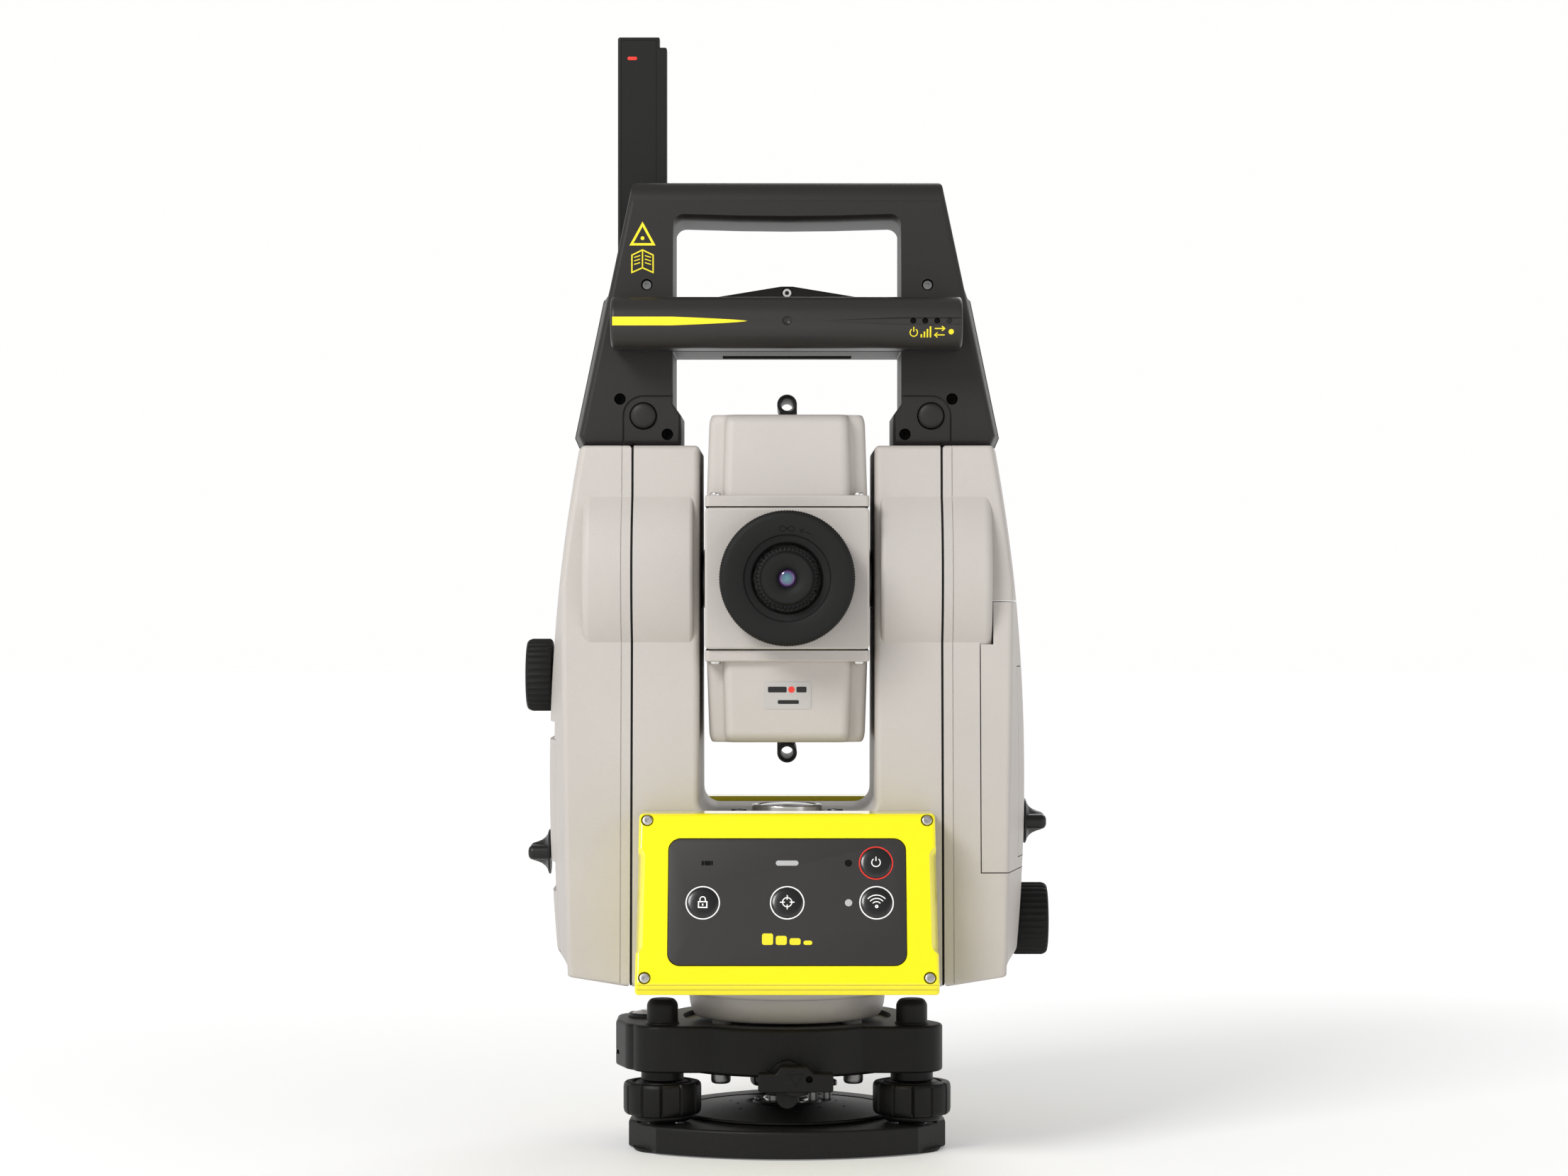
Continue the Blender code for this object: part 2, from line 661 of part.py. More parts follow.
def key_panel(side):
    name = ("front" if side < 0 else "rear") + "_key_panel"
    half_u, half_v = PANEL_SIZE[0] / 2, PANEL_SIZE[1] / 2
    bm = slab(rectangle(half_u, half_v, 4.9), "Z", -5.7, 0.2, (0, 0.3))
    panel = add(name, moved(bm, face_matrix(side)), "charcoal")
    for spot in KEYS.values():
        hole = turned([(KEY_R + CLEAR, -8), (KEY_R + CLEAR, 5)], centre=spot, segments=20)
        cut(panel, moved(hole, face_matrix(side)))


def keys(side):
    for name, spot in KEYS.items():
        profile = [(KEY_R, -4.8), (KEY_R, 0.7), (KEY_R - 0.5, 1.2)]
        matrix = face_matrix(side)
        origin = matrix @ Vector((*spot, 0))
        prefix = "front_" if side < 0 else "rear_"
        add(prefix + name, moved(turned(profile, centre=spot, segments=20), matrix), "charcoal", origin)


# Handle and radio


def handle_outline(spread):
    """The handle seen from the front, open downwards between its legs.

    Spread is how much wider the legs are at this depth than at the front and rear faces.
    """
    foot, shoulder = 88.4 + spread, 76.0 + spread
    right = [(45.8, TOP_Z + GAP, 0), (foot - 1.7, TOP_Z + GAP, 0), (foot, 302.5, 0.8), (shoulder, 362, 1.5)]
    right += [(75.3, 365, 1.5), (65.5, GRIP_Z[1], 7)]
    inner = [(45.8, 311, 0.8), (LEG_X, 314, 0.8), (LEG_X, BAR_Z[0], 3)]
    left = [(-x, z, r) for x, z, r in reversed(right)]
    return right + left + [(-x, z, r) for x, z, r in inner] + list(reversed(inner))


def handle_depth(z):
    return 30 - 0.03 * (z - TOP_Z)


def handle_shell(name, side):
    """The front or rear half of the handle, which meet in the middle of its depth."""
    rings = []
    for along, spread, inset in ((GAP / 60, 2.9, 0), (0.9, 0.3, 0), (0.97, 0, 0.9), (1.0, 0, 3.0)):
        rings.append([(p.x, side * along, p.y) for p in outline(handle_outline(spread), inset, 3)])
    shell = add(name, sloped(skin(rings), handle_depth), "black")
    low, high = BAR_Z[1], GRIP_Z[0]
    hole = [(-LEG_X, low, 2), (LEG_X, low, 2), (LEG_X, high, 5), (-LEG_X, high, 5)]
    cut(shell, slab(hole, "Y", -60, 60))
    return shell


def handle_front():
    shell = handle_shell("handle_front", -1)
    for side in (-1, 1):
        spot = (side * BUTTON[0], BUTTON[1])
        cut(shell, turned([(5.9, -40), (5.9, -20)], "Y", spot, 24))


def handle_rear():
    shell = handle_shell("handle_rear", 1)
    low, high = BAR_Z[1] - 6, BAR_Z[1] + 2.5
    peak = [(-50, low, 0), (50, low, 0), (50, high, 0), (2.5, 369.9, 0), (-2.5, 369.9, 0), (-50, high, 0)]
    join(shell, slab(peak, "Y", 18, 27))
    cut(shell, turned([(5.6, 15), (5.6, 45)], "Y", (ANTENNA_X, ANTENNA_Z), 20))


def handle_button(side):
    name = "handle_button_" + ("left" if side < 0 else "right")
    spot = (side * BUTTON[0], BUTTON[1])
    profile = [(4.4, -31.6), (5.4, -30.8), (5.4, -23.5)]
    add(name, turned(profile, "Y", spot, 24), "black", (spot[0], -23.5, spot[1]))


def radio_module():
    corners = [(-57.5, BAR_Z[0], 10.6), (-30.6, BAR_Z[0], 2), (-30.6, BAR_Z[1], 2), (-57.5, BAR_Z[1], 10.6)]
    add("radio_module", slab(corners, "X", -73.8, 73.3, (1.5, 1.5), 6), "black")


def antenna():
    low, high = ANTENNA_Z - 14, 480.7
    centre, half = ANTENNA_X, 10.8
    corners = [
        (centre - half, low, 4), (centre + half, low, 4), (centre + half, high - 4.5, 1),
        (centre + half - 3.2, high - 4.5, 0.6), (centre + half - 3.2, high, 0.6), (centre - half, high, 1.2),
    ]
    paddle = slab(corners, "Y", *ANTENNA_Y, (1.2, 1.2), 3)
    piece = add("antenna", paddle, "black", (centre, ANTENNA_Y[0], ANTENNA_Z))
    join(piece, turned([(5.0, 17), (5.0, 33)], "Y", (centre, ANTENNA_Z), 16))


# Telescope


def telescope_housing():
    corners = rectangle(BLOCK_X, BLOCK_Z, 2.5, (0, TILT_Z))
    housing = add("telescope_housing", slab(corners, "Y", -60, 58, (1.6, 1.6), 3), "shell")
    cut(housing, turned([(24.0, -40), (24.0, 70)], "Y", (0, TILT_Z), 28))
    cut(housing, turned([(14.0, -70), (14.0, -30)], "Y", (0, TILT_Z), 24))
    for low, high in ((-40, -26.8), (26.8, 40)):
        cut(housing, turned([(TRUNNION_R + GAP, low), (TRUNNION_R + GAP, high)], "X", (0, TILT_Z), 24))


def cover_plan(steps_in=0.0):
    """Plan of a telescope cover: a full-depth middle between set-back corners."""
    right = [(26.4, -55, 4), (26.8, -47, 2), (33.7, -46, 3.5), (33.7, 46, 3.5), (26.8, 47, 2), (26.4, 55, 4)]
    left = [(-x, y, r) for x, y, r in reversed(right)]
    return [(x - math.copysign(steps_in, x), y - math.copysign(steps_in, y), r) for x, y, r in right + left]


def telescope_cover(name, side):
    """A cover above or below the telescope's middle, on a flange."""
    bm = slab(cover_plan(), "Z", BLOCK_Z + 2, COVER_END, (0, 4.0), 3)
    for vert in bm.verts:
        taper = 1 - 0.00095 * (vert.co.z / MM - 34.7)
        vert.co.x *= taper
        vert.co.y *= taper
    turn = Matrix.Rotation(0 if side > 0 else math.pi, 4, "Y")
    place = Matrix.Translation((0, 0, TILT_Z)) @ turn
    cover = add(name, moved(bm, place), "shell")
    flange = slab(rectangle(34.3, 58, 2.5), "Z", BLOCK_Z + GAP, 34.7, (0, 0.8), 3)
    join(cover, moved(flange, place))
    cut(cover, moved(block((-27, -40, 20), (27, 40, 63)), place))


def sight(name, side):
    """An open sighting tube on a small plate."""
    turn = Matrix.Rotation(0 if side > 0 else math.pi, 4, "Y")
    place = Matrix.Translation((0, 0, TILT_Z)) @ turn
    tube = turned([(4.2, -27.5), (4.2, 27.5), (2.7, 27.5), (2.7, -27.5)], "Y", (0, SIGHT_Z), 20, hollow=True)
    piece = add(name, moved(tube, place), "black")
    corners = [(-4, COVER_END + GAP, 0), (12.5, COVER_END + GAP, 0), (12.5, 69.8, 0.3), (-4, 69.8, 0.3)]
    foot = slab(corners, "Y", -17, 17)
    neck = block((-3.6, -26, 69.5), (4.0, 26, 71.6))
    join(piece, moved(foot, place), moved(neck, place))


def trunnion(side):
    name = ("left" if side < 0 else "right") + "_trunnion"
    bm = turned([(TRUNNION_R, 27.2), (TRUNNION_R, 63.5)], "X", (0, TILT_Z), 24)
    add(name, bm if side > 0 else mirrored(bm, "X"), "steel")


def vertical_circle():
    profile = [(33.0, 55.0), (33.0, 57.5), (TRUNNION_R + GAP, 57.5), (TRUNNION_R + GAP, 55.0)]
    add("vertical_circle", turned(profile, "X", (0, TILT_Z), 32, hollow=True), "glass")


def objective():
    ring = [(23.6, 40), (23.6, 58.3), (28.5, 58.3), (28.5, 74)]
    ring += [(27.5, 75), (24.0, 75), (22.5, 64), (22.5, 40)]
    add("objective_ring", turned(ring, "Y", (0, TILT_Z), 28, hollow=True), "black")
    lens = [(22.0, 56), (22.2, 58), (22.2, 60), (18, 62.4), (10, 63.8), (2, 64.2)]
    add("objective_lens", turned(lens, "Y", (0, TILT_Z), 24), "glass")


def distance_meter():
    body = [(15.0, -34), (16.0, -33), (16.0, 30), (12.0, 34)]
    add("distance_meter", turned(body, "Y", (0, TILT_Z), 24), "alloy")


def focus_ring():
    outer = [(26.0, -60.4), (28.1, -61.5), (28.1, -77.5), (26.3, -79.6), (24.5, -80.0)]
    inner = [(18.2, -80.0), (17.4, -78.6), (15.2, -78.2), (14.2, -76.8), (14.2, -60.4)]
    add("focus_ring", turned(outer + inner, "Y", (0, TILT_Z), 36, hollow=True), "black", (0, -60.4, TILT_Z))


def eyepiece():
    stem = [(12.0, -48), (13.3, -61.5), (13.3, -79.0), (12.6, -80.0), (11.2, -80.2)]
    tip = [(10.8, -84.2), (10.2, -85.0), (5.6, -85.0), (3.8, -83.6), (3.7, -80.0)]
    add("eyepiece", turned(stem + tip, "Y", (0, TILT_Z), 24), "black", (0, -61, TILT_Z))


def build():
    clear_scene()
    base_plate()
    spring_plate()
    tribrach_body()
    tribrach_level()
    for side, (x, y) in SCREWS.items():
        footscrew(side, x, y)
    lock_lever()
    instrument_base()
    alidade_frame()
    axis_spindle()
    horizontal_circle()
    azimuth_motor()
    tilt_motor()
    round_level()
    left_cover()
    right_cover()
    communication_cover()
    battery_door()
    battery()
    card_door()
    memory_card()
    circuit_board()
    wing_knob("battery_lock_knob", -1, BATTERY_LOCK_Z, 101.9)
    wing_knob("card_lock_knob", 1, CARD_LOCK_Z, 102.1)
    drive_knob("tilt_knob", -1, TILT_KNOB_Z, TILT_KNOB_X + GAP)
    drive_knob("azimuth_knob", 1, AZIMUTH_KNOB_Z, AZIMUTH_KNOB_X + GAP)
    for side in (-1, 1):
        bearing(side)
        trunnion(side)
        keyboard_case(side)
        key_panel(side)
        keys(side)
        handle_button(side)
    handle_front()
    handle_rear()
    radio_module()
    antenna()
    telescope_housing()
    telescope_cover("telescope_top_cover", 1)
    telescope_cover("telescope_bottom_cover", -1)
    sight("sight_top", 1)
    sight("sight_bottom", -1)
    vertical_circle()
    objective()
    distance_meter()
    focus_ring()
    eyepiece()


build()
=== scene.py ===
"""Looks of the surveying total station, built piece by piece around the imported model.

Shapes are written in millimetres and MM turns them into metres where meshes are made. Heights and
half-widths come from the boxes of the CAD nodes that the pieces stand for.
"""

import math

import bmesh
import bpy
from mathutils import Matrix, Vector


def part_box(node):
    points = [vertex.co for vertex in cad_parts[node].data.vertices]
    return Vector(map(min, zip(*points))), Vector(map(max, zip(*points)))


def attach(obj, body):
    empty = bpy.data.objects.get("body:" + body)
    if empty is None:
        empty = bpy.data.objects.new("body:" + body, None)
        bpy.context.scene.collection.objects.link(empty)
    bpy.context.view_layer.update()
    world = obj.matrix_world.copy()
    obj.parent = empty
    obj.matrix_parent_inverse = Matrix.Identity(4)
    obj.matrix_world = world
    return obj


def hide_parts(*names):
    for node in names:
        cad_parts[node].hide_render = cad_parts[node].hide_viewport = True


MM = 0.001
GAP = 0.3  # between pieces that rest on each other

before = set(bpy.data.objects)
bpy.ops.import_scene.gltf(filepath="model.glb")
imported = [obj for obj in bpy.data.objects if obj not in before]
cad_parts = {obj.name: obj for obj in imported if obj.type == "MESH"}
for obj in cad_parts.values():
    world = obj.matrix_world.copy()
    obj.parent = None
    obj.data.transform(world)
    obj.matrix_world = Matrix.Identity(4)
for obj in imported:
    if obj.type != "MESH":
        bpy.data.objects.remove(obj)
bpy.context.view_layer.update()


def low(node):
    """Lowest corner of a CAD node, in millimetres."""
    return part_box(node)[0] / MM


def high(node):
    """Highest corner of a CAD node, in millimetres."""
    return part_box(node)[1] / MM


def centre(node):
    return (low(node) + high(node)) / 2


TILT_Z = centre("telescope_housing").z
TOP_Z = high("alidade_frame").z
SEAM_X = high("alidade_frame").x
DISH_Z = low("alidade_frame").z
DRUM_R = TOP_Z - TILT_Z
WIDEST_X = -low("left_cover").x
DRUM_X = (39.2, WIDEST_X - 15.8)
FLOOR_Z = high("round_level").z - 3.4
BODY_Z = 72.0
GAP_X = 36.8
FACE_TOP_Y = 42.5  # half the depth of the standards at the top
FACE_SLOPE = 0.0806  # its growth for each millimetre down
WIDEST_Z = 158.0
BULGE_FOOT_Z = 80.0
BULGE_RISE = 5.5  # how far up the side bulge reaches its full width
EDGE_X = 91.6
EDGE_Z = 83.0
EDGE_LEAN = 0.0215
LEAST_BULGE = 2.6
SEAM = 0.5  # half the width of the joint between the frame and a side cover, darkened by a black strip as painted shade
PANEL_GAP = 0.45  # seam around the communication panel
PRINT = 0.08  # thickness of a printed mark


# Outlines


def line_crossing(a, along, b, across):
    """Where the line through a and the line through b meet."""
    turn = along.cross(across)
    if abs(turn) < 1e-9:
        return (a + b) / 2
    return a + along * ((b - a).cross(across) / turn)


def inset_corner(before, corner, after, inset):
    """A corner of a counter-clockwise outline after its two sides move inwards."""
    first, second = (corner - before).normalized(), (after - corner).normalized()
    left = Vector((-first.y, first.x)) * inset
    right = Vector((-second.y, second.x)) * inset
    return line_crossing(corner + left, first, corner + right, second)


def round_corner(before, corner, after, radius, steps):
    """The arc that rounds one corner, from one side to the next."""
    to_before, to_after = (before - corner).normalized(), (after - corner).normalized()
    half = math.acos(max(-1, min(1, to_before.dot(to_after)))) / 2
    reach = radius / math.tan(half)
    middle = corner + (to_before + to_after).normalized() * (radius / math.sin(half))
    start, end = corner + to_before * reach - middle, corner + to_after * reach - middle
    sweep = math.atan2(start.cross(end), start.dot(end))
    return [middle + Matrix.Rotation(sweep * i / steps, 2) @ start for i in range(steps + 1)]


def outline(corners, inset=0.0, steps=8):
    """The points of a counter-clockwise outline whose corners are (u, v, radius)."""
    flat = [Vector((u, v)) for u, v, _ in corners]
    count = len(flat)
    shifted = [inset_corner(flat[i - 1], flat[i], flat[(i + 1) % count], inset) for i in range(count)]
    points = []
    for i, (_, _, radius) in enumerate(corners):
        after = (i + 1) % count
        if radius == 0:
            points.append(shifted[i])
            continue
        convex = (flat[i] - flat[i - 1]).cross(flat[after] - flat[i]) > 0
        radius = max(radius - inset, 0.3) if convex else radius + inset
        points += round_corner(shifted[i - 1], shifted[i], shifted[after], radius, steps)
    return points


def rectangle(half_u, half_v, radius=0.0, at=(0.0, 0.0)):
    signs = ((-1, -1), (1, -1), (1, 1), (-1, 1))
    return [(at[0] + a * half_u, at[1] + b * half_v, radius) for a, b in signs]


def polar(reach, degrees):
    angle = math.radians(degrees)
    return reach * math.cos(angle), reach * math.sin(angle)


def arc(radius, start, end, steps, at=(0.0, 0.0)):
    """Plain corners along an arc, its angles in degrees."""
    turns = [start + (end - start) * i / steps for i in range(steps + 1)]
    return [(at[0] + polar(radius, turn)[0], at[1] + polar(radius, turn)[1], 0.0) for turn in turns]


def quarter(steps, first=0, last=None):
    """Angles in radians over a quarter turn, from step first to step last."""
    return [math.pi / 2 * i / steps for i in range(first, (steps if last is None else last) + 1)]


def both_sides(right):
    """The corners of a right-hand outline and then their mirror images."""
    return right + [(-u, v, r) for u, v, r in reversed(right)]


def rim(start, end, edges, steps=5):
    """Positions along an extrusion and the inset at each, for two rounded rims."""
    first, last = edges
    turns = quarter(steps)
    low_rim, high_rim = [(start, 0.0)], [(end, 0.0)]
    if first:
        low_rim = [(start + first * (1 - math.cos(a)), first * (1 - math.sin(a))) for a in turns]
    if last:
        high_rim = [(end - last * (1 - math.cos(a)), last * (1 - math.sin(a))) for a in reversed(turns)]
    return low_rim + high_rim


# Solids


def placed(axis, u, v, along):
    """A point from two coordinates across an axis, in the order X, Y, Z, and one along it."""
    return {"X": (along, u, v), "Y": (u, along, v), "Z": (u, v, along)}[axis]


def skin(rings, closed=False):
    """A solid through rings of equal length, capped at both ends or joined into a loop."""
    bm = bmesh.new()
    rows = [[bm.verts.new(Vector(point) * MM) for point in ring] for ring in rings]
    pairs = list(zip(rows, rows[1:])) + ([(rows[-1], rows[0])] if closed else [])
    for below, above in pairs:
        for i in range(len(below)):
            j = (i + 1) % len(below)
            bm.faces.new((below[i], below[j], above[j], above[i]))
    if not closed:
        bm.faces.new(rows[0])
        bm.faces.new(rows[-1])
    bmesh.ops.recalc_face_normals(bm, faces=bm.faces)
    return bm


def slab(corners, axis, start, end, edges=(0.0, 0.0), steps=8):
    """An outline extruded along an axis, with rounded rims."""
    return skin([
        [placed(axis, p.x, p.y, along) for p in outline(corners, inset, steps)]
        for along, inset in rim(start, end, edges)
    ])


def turned(profile, axis="Z", at=(0.0, 0.0), segments=96, hollow=False, grip=None):
    """A solid of revolution from (radius, position) points; grip takes a radius and an angle."""
    rings = []
    for radius, along in profile:
        ring = []
        for i in range(segments):
            angle = 2 * math.pi * i / segments
            reach = grip(radius, angle) if grip else radius
            ring.append(
                placed(axis, at[0] + reach * math.cos(angle), at[1] + reach * math.sin(angle), along)
            )
        rings.append(ring)
    return skin(rings, closed=hollow)


def softened(profile, reach=0.5, steps=3):
    """A lathe profile with each of its corners rounded."""
    points = [Vector(point) for point in profile]
    result = [points[0]]
    for before, corner, after in zip(points, points[1:], points[2:]):
        room = min(reach, (before - corner).length * 0.45, (after - corner).length * 0.45)
        start = corner + (before - corner).normalized() * room
        end = corner + (after - corner).normalized() * room
        for i in range(steps + 1):
            t = i / steps
            result.append(start * (1 - t) ** 2 + corner * 2 * t * (1 - t) + end * t * t)
    return [tuple(point) for point in result + [points[-1]]]


def block(start, end):
    return slab(
        [(start[0], start[1], 0), (end[0], start[1], 0), (end[0], end[1], 0), (start[0], end[1], 0)],
        "Z", start[2], end[2],
    )


def moved(bm, matrix):
    """The solid after a transform whose translation is in millimetres."""
    matrix = matrix.copy()
    matrix.translation *= MM
    bmesh.ops.transform(bm, matrix=matrix, verts=bm.verts)
    if matrix.determinant() < 0:
        bmesh.ops.reverse_faces(bm, faces=bm.faces)
    return bm


def on_side(bm, side):
    """A solid made for the right-hand side, mirrored for the left-hand one."""
    return bm if side > 0 else moved(bm, Matrix.Scale(-1, 4, (1, 0, 0)))


def around_x(side, profile, z, segments, grip=None):
    """A solid of revolution about a line along X, whose positions are distances to one side."""
    return on_side(turned(profile, "X", (0, z), segments, grip=grip), side)


def around_tilt(profile, segments, **options):
    """A solid of revolution about the telescope's line of sight."""
    return turned(profile, "Y", (0, TILT_Z), segments, **options)


def sloped(bm, half_depth_at):
    """Scales Y by a half depth that depends on height, from a solid made one unit deep."""
    for vert in bm.verts:
        vert.co.y *= half_depth_at(vert.co.z / MM)
    return bm


def merged(*parts):
    """Several separate shells in one mesh."""
    whole = bmesh.new()
    for part in parts:
        mesh = bpy.data.meshes.new("part")
        part.to_mesh(mesh)
        part.free()
        whole.from_mesh(mesh)
        bpy.data.meshes.remove(mesh)
    return whole


# Materials


def node(tree, kind, **values):
    """A shader node with its properties and its input values set by name."""
    made = tree.nodes.new("ShaderNode" + kind)
    for name, value in values.items():
        if hasattr(made, name):
            setattr(made, name, value)
        else:
            made.inputs[name.replace("_", " ")].default_value = value
    return made


def shaded(name, roughness, metallic=0.0, **shader_values):
    """An empty material: its node tree, its shader and object coordinates in metres."""
    made = bpy.data.materials.new(name)
    made.use_nodes = True
    tree = made.node_tree
    shader = tree.nodes["Principled BSDF"]
    shader.inputs["Roughness"].default_value = roughness
    shader.inputs["Metallic"].default_value = metallic
    for key, value in shader_values.items():
        shader.inputs[key.replace("_", " ")].default_value = value
    return made, tree, shader, node(tree, "TexCoord").outputs["Object"]


def tinted(tree, shader, coordinates, colour, amount, scale):
    """Slow drifts in the colour, as in moulded or painted parts."""
    noise = node(tree, "TexNoise", Scale=scale, Detail=3.0)
    tree.links.new(coordinates, noise.inputs["Vector"])
    mix = node(tree, "Mix", data_type="RGBA")
    mix.inputs["A"].default_value = (*[c * (1 - amount) for c in colour], 1)
    mix.inputs["B"].default_value = (*[min(1, c * (1 + amount)) for c in colour], 1)
    tree.links.new(noise.outputs["Fac"], mix.inputs["Factor"])
    tree.links.new(mix.outputs["Result"], shader.inputs["Base Color"])
    return noise


def varied_roughness(tree, shader, source, low_value, high_value):
    spread = node(tree, "MapRange", From_Min=0.3, From_Max=0.7, To_Min=low_value, To_Max=high_value)
    tree.links.new(source, spread.inputs["Value"])
    tree.links.new(spread.outputs["Result"], shader.inputs["Roughness"])


def bumped(tree, shader, height, depth):
    """Relief of a depth in millimetres."""
    bump = node(tree, "Bump", Strength=1.0, Distance=depth * MM)
    tree.links.new(height, bump.inputs["Height"])
    tree.links.new(bump.outputs["Normal"], shader.inputs["Normal"])


def grained(name, colour, roughness, scale, depth, amount=0.05, spread=0.06, **shader_values):
    """Moulded or painted surface with a fine pebble grain; scale is in grains per metre."""
    made, tree, shader, coordinates = shaded(name, roughness, **shader_values)
    tinted(tree, shader, coordinates, colour, amount, 22.0)
    grain = node(tree, "TexVoronoi", Scale=scale, feature="SMOOTH_F1", Smoothness=0.6)
    fine = node(tree, "TexNoise", Scale=scale * 1.7, Detail=2.0)
    total = node(tree, "Math", operation="MULTIPLY_ADD")
    total.inputs[1].default_value = 0.8
    for texture in (grain, fine):
        tree.links.new(coordinates, texture.inputs["Vector"])
    tree.links.new(grain.outputs["Distance"], total.inputs[0])
    tree.links.new(fine.outputs["Fac"], total.inputs[2])
    bumped(tree, shader, total.outputs["Value"], depth)
    varied_roughness(tree, shader, fine.outputs["Fac"], roughness - spread, roughness + spread)
    return made


def plastic(name, colour, roughness, scale, depth, gloss):
    """A grained surface with its own specular level."""
    return grained(name, colour, roughness, scale, depth, Specular_IOR_Level=gloss)


def brushed(name, colour, roughness):
    """Turned or brushed metal with fine lines and faint stains."""
    made, tree, shader, coordinates = shaded(name, roughness, metallic=1.0)
    noise = tinted(tree, shader, coordinates, colour, 0.08, 60.0)
    lines = node(tree, "TexNoise", Scale=1500.0, Detail=3.0)
    tree.links.new(coordinates, lines.inputs["Vector"])
    bumped(tree, shader, lines.outputs["Fac"], 0.01)
    varied_roughness(tree, shader, noise.outputs["Fac"], roughness - 0.06, roughness + 0.08)
    return made


def clear(name, colour):
    roughness = 0.03
    made, tree, shader, coordinates = shaded(name, roughness, IOR=1.45, Transmission_Weight=1.0)
    noise = tinted(tree, shader, coordinates, colour, 0.04, 80.0)
    varied_roughness(tree, shader, noise.outputs["Fac"], roughness, roughness + 0.03)
    return made


def board_material(name):
    """Green solder mask with copper-lit tracks."""
    made, tree, shader, coordinates = shaded(name, 0.4)
    tracks = node(tree, "TexWave", Scale=160.0, Distortion=6.0, Detail=2.0)
    ramp = node(tree, "ValToRGB")
    ramp.color_ramp.elements[0].color = (0.015, 0.11, 0.045, 1)
    ramp.color_ramp.elements[1].color = (0.04, 0.2, 0.08, 1)
    ramp.color_ramp.elements[0].position = 0.45
    ramp.color_ramp.elements[1].position = 0.55
    tree.links.new(coordinates, tracks.inputs["Vector"])
    tree.links.new(tracks.outputs["Fac"], ramp.inputs["Fac"])
    tree.links.new(ramp.outputs["Color"], shader.inputs["Base Color"])
    bumped(tree, shader, tracks.outputs["Fac"], 0.03)
    return made


def lens_with_painted_reflection(name, at, radius):
    """Dark glass with the reflection of its coating painted in, running from teal at the middle to violet
    at the rim.
    """
    made, tree, shader, coordinates = shaded(name, 0.05, Coat_Weight=1.0, Coat_Roughness=0.02)
    offset = node(tree, "Mapping", vector_type="POINT", Location=[-value * MM for value in at])
    distance = node(tree, "VectorMath", operation="LENGTH")
    ramp = node(tree, "ValToRGB")
    stops = (
        (0.0, (0.05, 0.18, 0.2)), (0.45, (0.03, 0.1, 0.16)), (0.75, (0.1, 0.04, 0.16)),
        (1.0, (0.02, 0.015, 0.03)),
    )
    while len(ramp.color_ramp.elements) < len(stops):
        ramp.color_ramp.elements.new(0.5)
    for element, (position, colour) in zip(ramp.color_ramp.elements, stops):
        element.position = position
        element.color = (*colour, 1)
    scaled = node(tree, "Math", operation="DIVIDE")
    scaled.inputs[1].default_value = radius * MM
    tree.links.new(coordinates, offset.inputs["Vector"])
    tree.links.new(offset.outputs["Vector"], distance.inputs[0])
    tree.links.new(distance.outputs["Value"], scaled.inputs[0])
    tree.links.new(scaled.outputs["Value"], ramp.inputs["Fac"])
    tree.links.new(ramp.outputs["Color"], shader.inputs["Base Color"])
    return made


